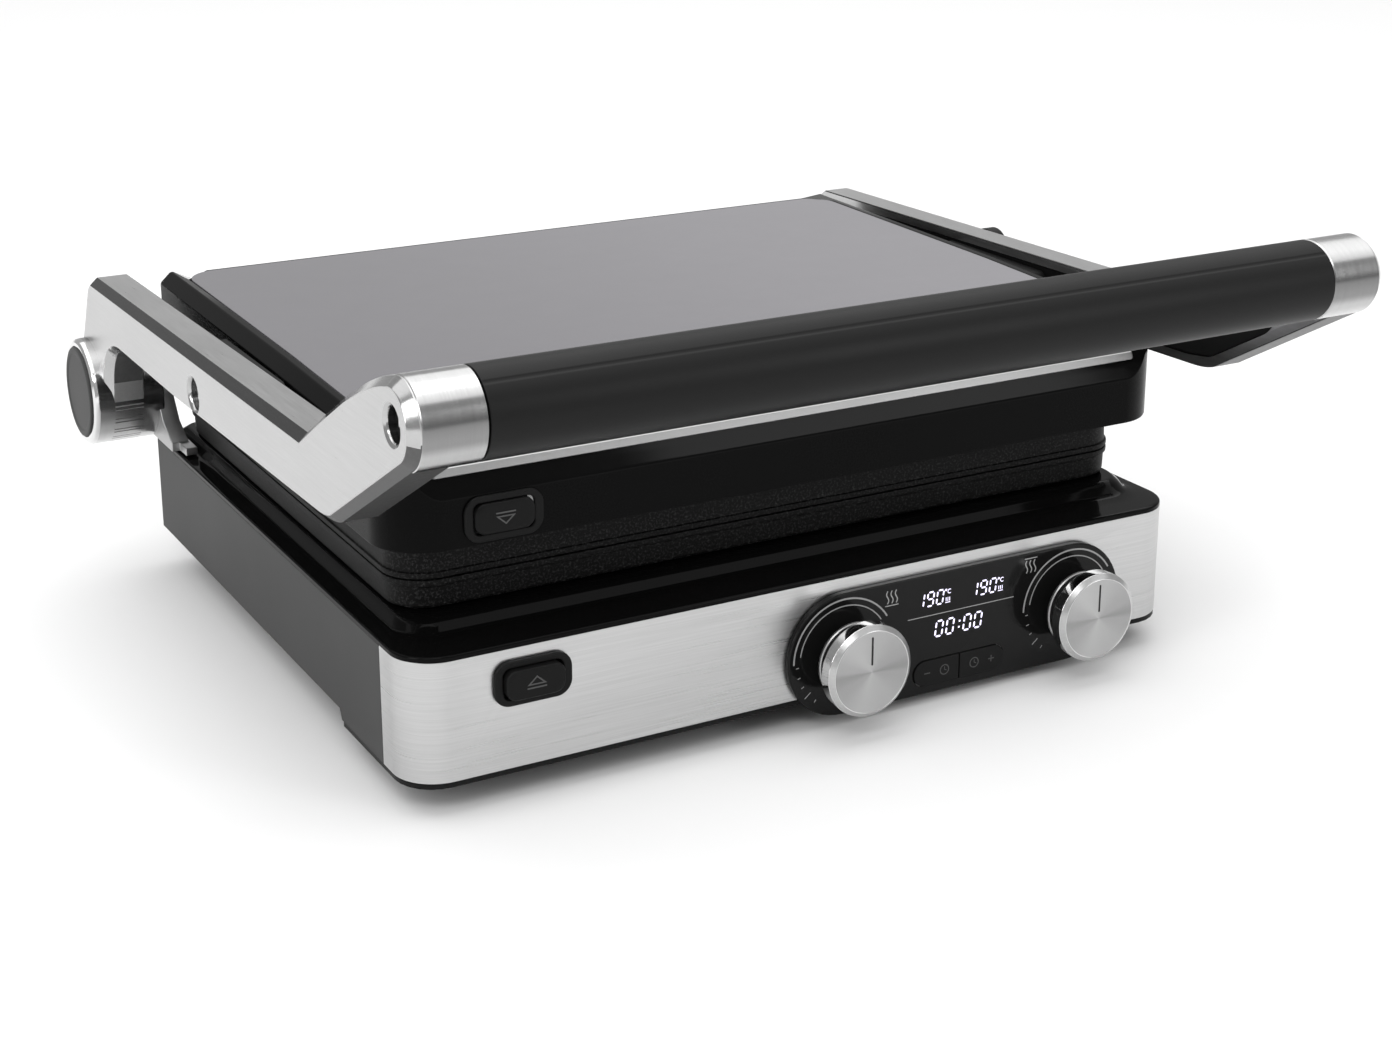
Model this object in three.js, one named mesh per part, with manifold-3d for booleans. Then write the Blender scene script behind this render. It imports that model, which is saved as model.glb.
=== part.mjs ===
// Contact grill (panini press) with a floating lid, built as separate pieces.
// Millimetres. +Z up, -Y is the front with the controls, +X is the right as seen from the front.
// The origin is on the table, under the middle of the grill.
import * as THREE from 'three';
import { mergeVertices } from 'three/addons/utils/BufferGeometryUtils.js';
import Module from 'manifold-3d';

const wasm = await Module();
wasm.setup();

// ---------------------------------------------------------------- driving dimensions
const baseWidth = 324;
const baseDepth = 280;
const baseFrontY = -116;
const baseCorner = 16;
const footHeight = 10.5;
const panelBottomZ = 12.5;
const panelTopZ = 56.7;
const sideRaisedZ = 16.4;
const sideStepY = -52;
const gap = 0.3;
const wall = 2.5;

const plateWidth = 308;
const plateFrontY = -91;
const plateRearY = 150;
const plateCorner = 16;
const plateBottomZ = 64.3;
const plateSplitZ = 75.4;
const ribPitch = 11;

const lidWidth = 324;
const lidFrontY = -106;
const lidRearY = 156;
const lidBottomZ = 90.8;

const hingeY = 168;
const hingeZ = 80.3;
const hubRadius = 22.5;
const lidPivotY = 20;
const lidPivotZ = 117.8;

const handleY = -176;
const handleZ = 161.2;
const gripRadius = 14.5;
const gripHalf = 162.5;
const armInnerX = 171;
const armOuterX = 187;
const hubOuterX = 192;
const capInnerX = 189.3;
const capOuterX = 193;

const fasciaY = -118.6;
const fasciaRadius = 23.8;
const fasciaZ = 27.6;
const knobX = [6.5, 108.5];
const displayX = (knobX[0] + knobX[1]) / 2;
const knobRadius = 17.5;
const knobFrontY = -137;

const releaseX = { lower: -117, upper: -121.5 };
const releaseZ = { lower: 44.1, upper: 100.2 };
const bezelSize = [29, 16.2];
const buttonSize = [22, 11];

const baseHalf = baseWidth / 2;
const baseRearY = baseFrontY + baseDepth;
const lidHalf = lidWidth / 2;
const plateHalf = plateWidth / 2;

// ---------------------------------------------------------------- finishes
function finish(color, roughness, metalness) {
  return new THREE.MeshStandardMaterial({ color, roughness, metalness });
}
const steel = finish(0xc9c9c9, 0.35, 1);
const polished = finish(0xe2e2e4, 0.12, 1);
const castAluminium = finish(0xb2b2b0, 0.38, 1);
const darkGlass = finish(0x8f8f94, 0.2, 0.6);
const glossBlack = finish(0x0b0b0c, 0.12, 0);
const satinBlack = finish(0x1b1b1c, 0.5, 0);
const gripBlack = finish(0x202021, 0.55, 0);
const charcoal = finish(0x4c4c4d, 0.45, 0);
const nonStick = finish(0x1d1d1e, 0.6, 0.3);
const rubber = finish(0x151515, 0.85, 0);
const boardGreen = finish(0x1f4a33, 0.6, 0);
const display = finish(0x26242c, 0.1, 0);

// ---------------------------------------------------------------- solid tools
const grill = new THREE.Group();
const axisX = new THREE.Vector3(1, 0, 0);
const axisY = new THREE.Vector3(0, 1, 0);
const axisZ = new THREE.Vector3(0, 0, 1);

function bare(geometry) {
  const copy = new THREE.BufferGeometry();
  copy.setAttribute('position', geometry.getAttribute('position').clone());
  if (geometry.index) copy.setIndex(geometry.index.clone());
  return mergeVertices(copy, 1e-4);
}

function toManifold(geometry) {
  const clean = bare(geometry);
  const vertProperties = new Float32Array(clean.getAttribute('position').array);
  const triVerts = new Uint32Array(clean.index.array);
  return new wasm.Manifold(new wasm.Mesh({ numProp: 3, vertProperties, triVerts }));
}

function fromManifold(manifold) {
  const mesh = manifold.getMesh();
  const geometry = new THREE.BufferGeometry();
  const stride = mesh.numProp;
  const points = new Float32Array((mesh.vertProperties.length / stride) * 3);
  for (let i = 0; i < points.length / 3; i += 1) {
    for (let k = 0; k < 3; k += 1) points[3 * i + k] = mesh.vertProperties[stride * i + k];
  }
  geometry.setAttribute('position', new THREE.BufferAttribute(points, 3));
  geometry.setIndex(new THREE.BufferAttribute(new Uint32Array(mesh.triVerts), 1));
  return geometry;
}

function fuse(...pieces) {
  return fromManifold(wasm.Manifold.union(pieces.map(toManifold)));
}

function carve(body, ...tools) {
  return fromManifold(toManifold(body).subtract(wasm.Manifold.union(tools.map(toManifold))));
}

function overlap(a, b) {
  return fromManifold(toManifold(a).intersect(toManifold(b)));
}

function add(name, geometry, material) {
  const mesh = new THREE.Mesh(geometry.index ? geometry.toNonIndexed() : geometry, material);
  mesh.geometry.computeVertexNormals();
  mesh.name = name;
  grill.add(mesh);
  return mesh;
}

function mirrored(geometry) {
  const copy = bare(geometry);
  copy.scale(-1, 1, 1);
  const index = copy.index.array;
  for (let i = 0; i < index.length; i += 3) [index[i], index[i + 1]] = [index[i + 1], index[i]];
  return copy;
}

// Adds a piece drawn for the right-hand side and its mirror image for the left.
function addPair(name, geometry, material) {
  add(`${name}_right`, geometry, material);
  add(`${name}_left`, mirrored(geometry), material);
}

function box(x0, x1, y0, y1, z0, z1) {
  const geometry = new THREE.BoxGeometry(x1 - x0, y1 - y0, z1 - z0);
  geometry.translate((x0 + x1) / 2, (y0 + y1) / 2, (z0 + z1) / 2);
  return geometry;
}

// Rectangle with radius r at its low-v corners and rFar at its high-v corners.
function roundedRect(u0, u1, v0, v1, r, rFar = r) {
  const s = new THREE.Shape();
  s.moveTo(u0 + r, v0);
  s.lineTo(u1 - r, v0);
  s.absarc(u1 - r, v0 + r, r, -Math.PI / 2, 0, false);
  s.lineTo(u1, v1 - rFar);
  s.absarc(u1 - rFar, v1 - rFar, rFar, 0, Math.PI / 2, false);
  s.lineTo(u0 + rFar, v1);
  s.absarc(u0 + rFar, v1 - rFar, rFar, Math.PI / 2, Math.PI, false);
  s.lineTo(u0, v0 + r);
  s.absarc(u0 + r, v0 + r, r, Math.PI, 1.5 * Math.PI, false);
  return s;
}

function polygon(points) {
  return new THREE.Shape(points.map(([u, v]) => new THREE.Vector2(u, v)));
}

function bevel(thickness, size, segments) {
  return { bevelEnabled: true, bevelThickness: thickness, bevelSize: size, bevelSegments: segments };
}

function extrude(shape, depth, options = {}) {
  return new THREE.ExtrudeGeometry(shape, { depth, bevelEnabled: false, curveSegments: 3, ...options });
}

// Shape drawn in X and Y, standing from z0 to z1.
function slabZ(shape, z0, z1, options) {
  return extrude(shape, z1 - z0, options).translate(0, 0, z0);
}

// Shape drawn in Y and Z, running from x0 to x1.
function slabX(shape, x0, x1, options) {
  const turn = new THREE.Matrix4().makeBasis(axisY, axisZ, axisX);
  return extrude(shape, x1 - x0, options).applyMatrix4(turn).translate(x0, 0, 0);
}

// Shape drawn in X and Z, running from y0 back to y1.
function slabY(shape, y0, y1, options) {
  const turn = new THREE.Matrix4().makeBasis(axisX, axisZ, axisY.clone().negate());
  return extrude(shape, y1 - y0, options).applyMatrix4(turn).translate(0, y1, 0);
}

function rodX(x0, x1, y, z, radius, sides = 28) {
  const geometry = new THREE.CylinderGeometry(radius, radius, x1 - x0, sides);
  return geometry.rotateZ(-Math.PI / 2).translate((x0 + x1) / 2, y, z);
}

function rodY(y0, y1, x, z, radius, sides = 24) {
  return new THREE.CylinderGeometry(radius, radius, y1 - y0, sides).translate(x, (y0 + y1) / 2, z);
}

function rodZ(z0, z1, x, y, radius, sides = 20) {
  const geometry = new THREE.CylinderGeometry(radius, radius, z1 - z0, sides);
  return geometry.rotateX(Math.PI / 2).translate(x, y, (z0 + z1) / 2);
}

// Profile of [radius, distance] pairs turned about an axis that points towards the front.
function turnedToFront(profile, x, y, z, sides = 48) {
  const points = profile.map(([radius, out]) => new THREE.Vector2(radius, out));
  return new THREE.LatheGeometry(points, sides).rotateZ(Math.PI).translate(x, y, z);
}

// ---------------------------------------------------------------- base housing
const screenWindow = box(knobX[0] - 9, knobX[1] + 9, baseFrontY - 1, baseFrontY + 12, 18, 48);
const trayHalf = 120;
const glandX = 136;
const glandZ = 42;
const trayTopZ = 32.5;
const tubBottomZ = 14.5;
const floorTopZ = 16.9;
const tubFrontY = baseFrontY + 1.8;
const tubRearY = baseRearY - gap;
const tubHalf = baseHalf - 3 - gap;

function baseTub() {
  const outline = roundedRect(-tubHalf, tubHalf, tubFrontY, tubRearY, 13.5, 1.5);
  const inside = roundedRect(-tubHalf + wall, tubHalf - wall, tubFrontY + wall, tubRearY - wall, 11, 1);
  const skirt = roundedRect(-baseHalf + 0.4, baseHalf - 0.4, baseFrontY + 0.4, sideStepY, 15, 1);
  const skirtInside = roundedRect(-154, 154, -108, sideStepY - 4, 8, 3);
  const shell = fuse(
    slabZ(outline, tubBottomZ, panelTopZ - gap),
    slabZ(skirt, footHeight, panelBottomZ - gap),
    slabZ(roundedRect(-tubHalf, tubHalf, tubFrontY, sideStepY, 13.5, 1), footHeight, tubBottomZ + 0.5),
  );
  const vents = [];
  for (let i = 0; i < 7; i += 1) {
    const x = -96 + i * 32;
    vents.push(slabZ(roundedRect(x - 2, x + 2, -36, 8, 1.9), 0, 20, { curveSegments: 3 }));
  }
  return carve(
    shell,
    slabZ(inside, floorTopZ, 70),
    slabZ(skirtInside, 0, tubBottomZ),
    screenWindow,
    releaseHole('lower', 24.5, 12, tubFrontY - 2, tubFrontY + 4),
    box(-trayHalf - 1, trayHalf + 1, tubRearY - 5, tubRearY + 2, floorTopZ, trayTopZ + 1),
    rodY(tubRearY - 6, tubRearY + 2, glandX, glandZ, 6.3, 24),
    ...vents,
  );
}

function releaseHole(which, width, height, y0, y1) {
  const x = releaseX[which];
  const z = releaseZ[which];
  const hole = roundedRect(x - width / 2, x + width / 2, z - height / 2, z + height / 2, 5);
  return slabY(hole, y0, y1);
}

function frontPanel() {
  const sheet = 1.5;
  const endY = baseFrontY + 24;
  const outer = roundedRect(-baseHalf, baseHalf, baseFrontY, endY + 40, baseCorner, 1);
  const inner = roundedRect(-baseHalf + sheet, baseHalf - sheet, baseFrontY + sheet, endY + 60, 14.5, 1);
  const wrap = { curveSegments: 5 };
  return carve(
    slabZ(outer, panelBottomZ, panelTopZ - gap, wrap),
    slabZ(inner, 0, 80, wrap),
    box(-200, 200, endY, endY + 80, 0, 80),
    screenWindow,
    releaseHole('lower', 26, 13, baseFrontY - 2, baseFrontY + 4),
  );
}

function sidePanel() {
  const outline = polygon([
    [baseFrontY + 24.3, panelBottomZ],
    [sideStepY, panelBottomZ],
    [sideStepY + 2, sideRaisedZ],
    [baseRearY - gap, sideRaisedZ],
    [baseRearY - gap, panelTopZ - gap],
    [baseFrontY + 24.3, panelTopZ - gap],
  ]);
  return slabX(outline, baseHalf - 3, baseHalf);
}

const deckFlangeZ = 59.2;
const deckRimZ = 64;
const panOpening = [-149.5, 149.5, -86.5, 145.5];

function deck() {
  const flange = roundedRect(-baseHalf + 0.8, baseHalf - 0.8, baseFrontY + 0.8, baseRearY - 0.8, 15.2, 3);
  const edge = { ...bevel(0.8, 0.8, 1), curveSegments: 4 };
  const platform = roundedRect(-152, 152, -95, 153, 14);
  const slope = bevel(3.2, 3.5, 3);
  const raised = slabZ(platform, deckFlangeZ, deckRimZ - 3.2, slope);
  const [x0, x1, y0, y1] = panOpening;
  return carve(
    fuse(slabZ(flange, panelTopZ + 0.8, deckFlangeZ - 0.8, edge), raised),
    slabZ(roundedRect(x0, x1, y0, y1, 10), 40, 80),
  );
}

function foot(x, y) {
  const top = tubBottomZ - gap;
  return fuse(rodZ(0, top - 1, x, y, 11), rodZ(top - 2, top, x, y, 8));
}

add('base_tub', baseTub(), satinBlack);
add('front_panel', frontPanel(), steel);
addPair('side_panel', sidePanel(), charcoal);
add('deck', deck(), glossBlack);
for (const [side, x] of [['left', -118], ['right', 118]]) {
  add(`foot_front_${side}`, foot(x, -69), rubber);
  add(`foot_rear_${side}`, foot(x, 136), rubber);
}

// ---------------------------------------------------------------- cord gland at the back
function cordGland() {
  const profile = [[3.4, -4], [9, -4], [9, -1.5], [6, -1.5], [6, 6], [3.4, 6], [3.4, -4]];
  return turnedToFront(profile, glandX, tubRearY, glandZ, 20);
}
add('cord_gland', cordGland(), rubber);

// ---------------------------------------------------------------- heating parts and plates
function reflectorPan(z0, z1, openUp) {
  const [x0, x1, y0, y1] = panOpening;
  const outer = roundedRect(x0 + gap, x1 - gap, y0 + gap, y1 - gap, 9.5);
  const inner = roundedRect(x0 + 1.5, x1 - 1.5, y0 + 1.5, y1 - 1.5, 8.5);
  const hollow = openUp ? [z0 + 1.2, z1 + 5] : [z0 - 5, z1 - 1.2];
  return carve(slabZ(outer, z0, z1), slabZ(inner, ...hollow));
}

// Tubular element: four passes joined by half turns, its two ends bent away to the terminals.
function heatingElement(z, endZ) {
  const reach = 118;
  const rows = [-66, -8, 50, 108];
  const points = [new THREE.Vector3(-reach - 8, rows[0], endZ), new THREE.Vector3(-reach, rows[0], z)];
  rows.forEach((y, i) => {
    const side = i % 2 === 0 ? 1 : -1;
    for (const t of [-0.6, 0, 0.6, 1]) points.push(new THREE.Vector3(side * t * reach * 0.9, y, z));
    if (i < rows.length - 1) points.push(new THREE.Vector3(side * (reach + 14), y + 29, z));
  });
  points.push(new THREE.Vector3(-reach, rows[3], z), new THREE.Vector3(-reach - 8, rows[3], endZ));
  const path = new THREE.CatmullRomCurve3(points, false, 'centripetal');
  const tube = new THREE.Shape().absarc(0, 0, 3.2, 0, 2 * Math.PI, false);
  return new THREE.ExtrudeGeometry(tube, { steps: 60, curveSegments: 3, extrudePath: path });
}

// Ribbed cooking plate with its face up at the split line and a drain at the back.
function cookingPlate(bottomZ, faceZ, drainBottomZ) {
  const rim = 7;
  const floorZ = faceZ - 5.4;
  const outline = roundedRect(-plateHalf, plateHalf, plateFrontY, plateRearY, plateCorner);
  const well = roundedRect(-plateHalf + rim, plateHalf - rim, plateFrontY + rim, plateRearY - rim, 11);
  const back = roundedRect(-plateHalf + 8, plateHalf - 8, plateFrontY + 8, plateRearY - 8, 9);
  const slab = carve(
    slabZ(outline, bottomZ, faceZ),
    slabZ(well, floorZ, faceZ + 5),
    slabZ(back, bottomZ - 5, floorZ - 2.8),
  );
  const ribs = [];
  const count = Math.floor((plateHalf - rim - 8) / ribPitch);
  for (let i = -count; i <= count; i += 1) {
    const x = i * ribPitch;
    const profile = polygon([
      [x - 2.4, floorZ - 1],
      [x + 2.4, floorZ - 1],
      [x + 1.2, faceZ - 1],
      [x - 1.2, faceZ - 1],
    ]);
    ribs.push(slabY(profile, plateFrontY + rim + 9, plateRearY - rim - 15));
  }
  const pieces = [slab, ...ribs];
  const drainY = plateRearY - rim - 7;
  if (drainBottomZ !== null) pieces.push(rodZ(drainBottomZ, floorZ - 1, 0, drainY, 6.5, 20));
  const plate = fuse(...pieces);
  if (drainBottomZ === null) return plate;
  return carve(plate, rodZ(drainBottomZ - 5, floorZ + 5, 0, drainY, 4.5, 20));
}

function flippedAboutSplit(geometry) {
  return geometry.translate(0, 0, -plateSplitZ).rotateY(Math.PI).translate(0, 0, plateSplitZ);
}

const drainY = plateRearY - 14;
const lowerPan = carve(reflectorPan(47.5, 63.8, true), rodZ(43, 53, 0, drainY, 9, 20));
add('lower_reflector', lowerPan, steel);
add('lower_heating_element', heatingElement(57.2, 52), castAluminium);
add('lower_plate', cookingPlate(plateBottomZ, plateSplitZ - gap / 2, 36), nonStick);

const upperPlateDepth = lidBottomZ - gap - plateSplitZ;
const upperBottomZ = plateSplitZ - upperPlateDepth;
const upperPlate = flippedAboutSplit(cookingPlate(upperBottomZ, plateSplitZ - gap / 2, null));
add('upper_plate', upperPlate, nonStick);
add('upper_reflector', reflectorPan(91.3, 108, false), steel);
add('upper_heating_element', heatingElement(98, 103), castAluminium);

// ---------------------------------------------------------------- drip tray
function dripTray() {
  const y0 = 34;
  const y1 = tubRearY;
  const outer = roundedRect(-trayHalf, trayHalf, y0, y1, 8);
  const inner = roundedRect(-trayHalf + 2, trayHalf - 2, y0 + 2, y1 - 4, 7);
  const grip = roundedRect(-24, 24, floorTopZ + 7, trayTopZ + 4, 3);
  return carve(
    slabZ(outer, floorTopZ + gap, trayTopZ),
    slabZ(inner, floorTopZ + 2.3, trayTopZ + 5),
    slabY(grip, y1 - 1.6, y1 + 3),
  );
}
add('drip_tray', dripTray(), satinBlack);

// ---------------------------------------------------------------- control fascia
function stadium(r) {
  return roundedRect(knobX[0] - r, knobX[1] + r, fasciaZ - r, fasciaZ + r, r - 0.01);
}

const fasciaBackY = baseFrontY - gap;
const displayBox = { halfW: 29, z0: 21.6, z1: 47.2 };
const timerZ = 12.4;
const timerHalf = 20.5;
const timerHeight = 9.9;

function timerKeys(x0, x1, grow) {
  const r = timerHeight / 2 + grow;
  return roundedRect(x0 - grow, x1 + grow, timerZ - r, timerZ + r, r - 0.01);
}

function fascia() {
  const round = { ...bevel(0.6, 0.6, 1), curveSegments: 6 };
  const body = slabY(stadium(fasciaRadius - 0.6), fasciaY + 0.6, fasciaBackY - 0.01, round);
  const trimmed = overlap(body, box(-50, 170, fasciaY - 1, fasciaBackY, 0, 60));
  const { halfW, z0, z1 } = displayBox;
  const screen = roundedRect(displayX - halfW, displayX + halfW, z0, z1, 2);
  return carve(
    trimmed,
    ...knobX.map((x) => rodY(fasciaY - 5, fasciaBackY + 5, x, fasciaZ, 6.5, 24)),
    slabY(screen, fasciaY - 5, fasciaBackY + 5),
    slabY(timerKeys(displayX - timerHalf, displayX + timerHalf, 0.4), fasciaY - 5, fasciaBackY + 5),
  );
}

function displayWindow() {
  const w = displayBox.halfW - gap;
  const screen = roundedRect(displayX - w, displayX + w, displayBox.z0 + gap, displayBox.z1 - gap, 1.8);
  return slabY(screen, fasciaY + 0.1, fasciaBackY);
}

// One end of the split stadium key; side is -1 for the left half and 1 for the right.
function timerButton(side) {
  const outline = timerKeys(displayX - timerHalf, displayX + timerHalf, 0);
  const whole = slabY(outline, fasciaY - 0.7, fasciaBackY - 0.5, { curveSegments: 4 });
  const x0 = side < 0 ? displayX - 40 : displayX + 0.25;
  const x1 = side < 0 ? displayX - 0.25 : displayX + 40;
  return overlap(whole, box(x0, x1, fasciaY - 5, fasciaBackY + 1, 0, 30));
}

function knob(x) {
  const profile = [
    [3.3, -13], [14.6, -13], [14.8, -11.6], [13.2, -11], [13.2, -7], [knobRadius - 0.4, -6.6],
    [knobRadius, -6], [knobRadius, -1.6], [knobRadius - 1.8, 0], [0, 0], [0, -4], [3.3, -4], [3.3, -13],
  ];
  const body = turnedToFront(profile, x, knobFrontY, fasciaZ, 40);
  const pointer = box(x - 0.45, x + 0.45, knobFrontY - 1, knobFrontY + 0.35, fasciaZ + 4, fasciaZ + 14);
  return carve(body, pointer);
}

function knobShaft(x) {
  return overlap(
    rodY(knobFrontY + 4.3, fasciaBackY + 4, x, fasciaZ, 3, 24),
    box(x - 4, x + 4, -200, 0, fasciaZ - 4, fasciaZ + 2.2),
  );
}

function encoder(x) {
  return carve(
    fuse(
      rodY(fasciaBackY + 0.4 - 1.4, fasciaBackY + 5, x, fasciaZ, 5, 24),
      box(x - 7, x + 7, fasciaBackY + 2.5, fasciaBackY + 10.5, fasciaZ - 7, fasciaZ + 7),
    ),
    rodY(fasciaBackY - 6, fasciaBackY + 6, x, fasciaZ, 3.3, 24),
  );
}

add('control_fascia', fascia(), glossBlack);
add('display_window', displayWindow(), display);
add('timer_minus_button', timerButton(-1), satinBlack);
add('timer_plus_button', timerButton(1), satinBlack);
const boardY = fasciaBackY + 2.2;
add('display_board', box(displayX - 36, displayX + 36, boardY, boardY + 1.6, 18.4, 47.7), boardGreen);
for (const [i, side] of ['left', 'right'].entries()) {
  add(`knob_${side}`, knob(knobX[i]), steel);
  add(`knob_shaft_${side}`, knobShaft(knobX[i]), castAluminium);
  add(`encoder_${side}`, encoder(knobX[i]), castAluminium);
}

function controlBoard() {
  return fuse(
    box(-60, 110, -96, -30, 22, 23.6),
    box(-50, -20, -88, -60, 23.5, 38),
    box(0, 24, -88, -66, 23.5, 36),
    box(60, 76, -80, -50, 23.5, 33),
    ...[-55, 105].map((x) => box(x - 3, x + 3, -66, -60, floorTopZ + gap, 22.5)),
  );
}
add('control_board', controlBoard(), boardGreen);

// ---------------------------------------------------------------- plate release buttons
function bezel(which, backY, frontY) {
  const x = releaseX[which];
  const z = releaseZ[which];
  const [w, h] = bezelSize;
  const rim = roundedRect(x - w / 2 + 0.4, x + w / 2 - 0.4, z - h / 2 + 0.4, z + h / 2 - 0.4, 5.5);
  const collar = slabY(rim, frontY + 0.4, backY - 0.4, bevel(0.4, 0.4, 1));
  return carve(collar, releaseHole(which, buttonSize[0] + 1, buttonSize[1] + 1, frontY - 5, backY + 5));
}

function releaseButton(which, frontY, backY) {
  const x = releaseX[which];
  const z = releaseZ[which];
  const [w, h] = buttonSize;
  const face = roundedRect(x - w / 2 + 1, x + w / 2 - 1, z - h / 2 + 1, z + h / 2 - 1, 3);
  return slabY(face, frontY + 1, backY - 1, bevel(1, 1, 1));
}

// Slider behind a release button: a stem with the hook that holds the plate's front edge.
function latch(which, y0, y1, hookZ) {
  const x = releaseX[which];
  const z = releaseZ[which];
  const low = Math.min(z - 2, hookZ);
  const high = Math.max(z + 2, hookZ);
  return fuse(
    box(x - 7, x + 7, y0, y1, z - 2.5, z + 2.5),
    box(x - 5, x + 5, y1 - 3, y1, low, high),
  );
}

add('lower_release_bezel', bezel('lower', baseFrontY - gap, baseFrontY - 1.9), satinBlack);
add('lower_release_button', releaseButton('lower', baseFrontY - 4.2, baseFrontY + 4), satinBlack);
add('lower_release_latch', latch('lower', baseFrontY + 4.3, baseFrontY + 22, 56), castAluminium);
add('upper_release_bezel', bezel('upper', lidFrontY - gap, lidFrontY - 1.2), satinBlack);
add('upper_release_button', releaseButton('upper', lidFrontY - 2.2, lidFrontY + 4), satinBlack);
add('upper_release_latch', latch('upper', lidFrontY + 4.3, lidFrontY + 14, 92.5), castAluminium);

// ---------------------------------------------------------------- lid
const lidTop = [
  [lidFrontY + 3.5, 118.6],
  [lidFrontY + 15, 123.9],
  [lidFrontY + 28, 127.9],
  [lidFrontY + 44, 130.2],
  [lidFrontY + 110, 132.1],
  [lidRearY - 12, 133.9],
];

function lidProfile(sink, y0, y1) {
  const inside = lidTop.filter(([y]) => y > y0 && y < y1);
  const at = (y) => {
    const i = Math.max(1, lidTop.findIndex(([v]) => v >= y));
    const [ya, za] = lidTop[i - 1];
    const [yb, zb] = lidTop[i];
    return za + ((zb - za) * (y - ya)) / (yb - ya);
  };
  return [[y0, at(y0)], ...inside, [y1, at(y1)]].map(([y, z]) => [y, z - sink]);
}

const panelY = [lidFrontY + 3.9, lidRearY - 13];
const panelHalf = 154.5;
const panelSheet = 1.4;
const trimHalf = 146;
const trimZ = [115.9, 118.8];

// Plan outline of the lid: rounded front corners, rear corners cut off at 45 degrees.
function lidPlan(inset) {
  const half = lidHalf - inset;
  const front = lidFrontY + inset;
  const rear = lidRearY - inset;
  const r = 20 - inset;
  const cut = 14 - 0.4 * inset;
  const s = new THREE.Shape();
  s.moveTo(-half + r, front);
  s.lineTo(half - r, front);
  s.absarc(half - r, front + r, r, -Math.PI / 2, 0, false);
  s.lineTo(half, rear - cut);
  s.lineTo(half - cut, rear);
  s.lineTo(-half + cut, rear);
  s.lineTo(-half, rear - cut);
  s.lineTo(-half, front + r);
  s.absarc(-half + r, front + r, r, Math.PI, 1.5 * Math.PI, false);
  return s;
}

function lidShell() {
  const outline = polygon([
    [lidFrontY, lidBottomZ],
    [lidRearY, lidBottomZ],
    [lidRearY, 124.4],
    ...[...lidTop].reverse(),
    [lidFrontY, 109.2],
  ]);
  const plan = slabZ(lidPlan(0), 80, 140, { curveSegments: 5 });
  const block = overlap(slabX(outline, -lidHalf, lidHalf), plan);
  const core = overlap(
    slabX(polygon([
      [lidFrontY + 3, 80],
      [lidRearY - 3, 80],
      [lidRearY - 3, 120.7],
      ...lidProfile(panelSheet + gap + 2.5, lidFrontY + 9, lidRearY - 14).reverse(),
      [lidFrontY + 3, 108],
    ]), -lidHalf, lidHalf),
    slabZ(lidPlan(3), 70, 140, { curveSegments: 5 }),
  );
  const recess = overlap(
    slabX(polygon([
      ...lidProfile(panelSheet + gap, panelY[0] - 0.4, panelY[1] + 0.4),
      ...lidProfile(-5, panelY[0] - 0.4, panelY[1] + 0.4).reverse(),
    ]), -panelHalf - 0.4, panelHalf + 0.4),
    slabZ(roundedRect(-panelHalf - 0.4, panelHalf + 0.4, panelY[0] - 0.4, panelY[1] + 0.4, 13), 80, 150),
  );
  const boss = rodX(150, 160, lidPivotY, lidPivotZ, 8, 24);
  const grooveHalf = trimHalf + gap;
  const trimGroove = box(-grooveHalf, grooveHalf, lidFrontY - 1, panelY[0] + 0.1, trimZ[0] - gap, 120);
  const buttonHole = releaseHole('upper', 25, 12.5, lidFrontY - 3, lidFrontY + 6);
  const hollow = carve(block, core, recess, trimGroove, buttonHole);
  return carve(fuse(hollow, boss, mirrored(boss)), rodX(-170, 170, lidPivotY, lidPivotZ, 4.3, 24));
}

function lidPanel() {
  const sheet = slabX(polygon([
    ...lidProfile(panelSheet, ...panelY),
    ...lidProfile(0, ...panelY).reverse(),
  ]), -panelHalf, panelHalf);
  return overlap(sheet, slabZ(roundedRect(-panelHalf, panelHalf, ...panelY, 12.6), 80, 150));
}

function lidTrim() {
  return slabX(polygon([
    [lidFrontY + 1.5, trimZ[0]],
    [panelY[0] - gap, trimZ[0]],
    [panelY[0] - gap, trimZ[1] + 0.3],
    [lidFrontY + 2.6, trimZ[1]],
  ]), -trimHalf, trimHalf);
}

add('lid_shell', lidShell(), glossBlack);
add('lid_top_panel', lidPanel(), darkGlass);
add('lid_trim', lidTrim(), polished);

// ---------------------------------------------------------------- hinge brackets and pins
const bracketX = [157.5, 164.7];

function hingeBracket() {
  const web = polygon([
    [132, deckFlangeZ + gap],
    [baseRearY - 1, deckFlangeZ + gap],
    [hingeY + 13, hingeZ - 7],
    [hingeY - 13, hingeZ + 6],
    [143, 69.5],
    [132, 63.5],
  ]);
  const foot = box(156.3, baseHalf - 0.8, 124, baseRearY - 1, deckFlangeZ + gap, 62.8);
  return carve(
    fuse(slabX(web, ...bracketX), rodX(...bracketX, hingeY, hingeZ, 15, 40), foot),
    rodX(150, 170, hingeY, hingeZ, 6.2, 32),
  );
}

addPair('hinge_bracket', hingeBracket(), castAluminium);
addPair('hinge_pin', rodX(bracketX[0] - 1, capInnerX - 0.8, hingeY, hingeZ, 5.9, 32), polished);

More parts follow.
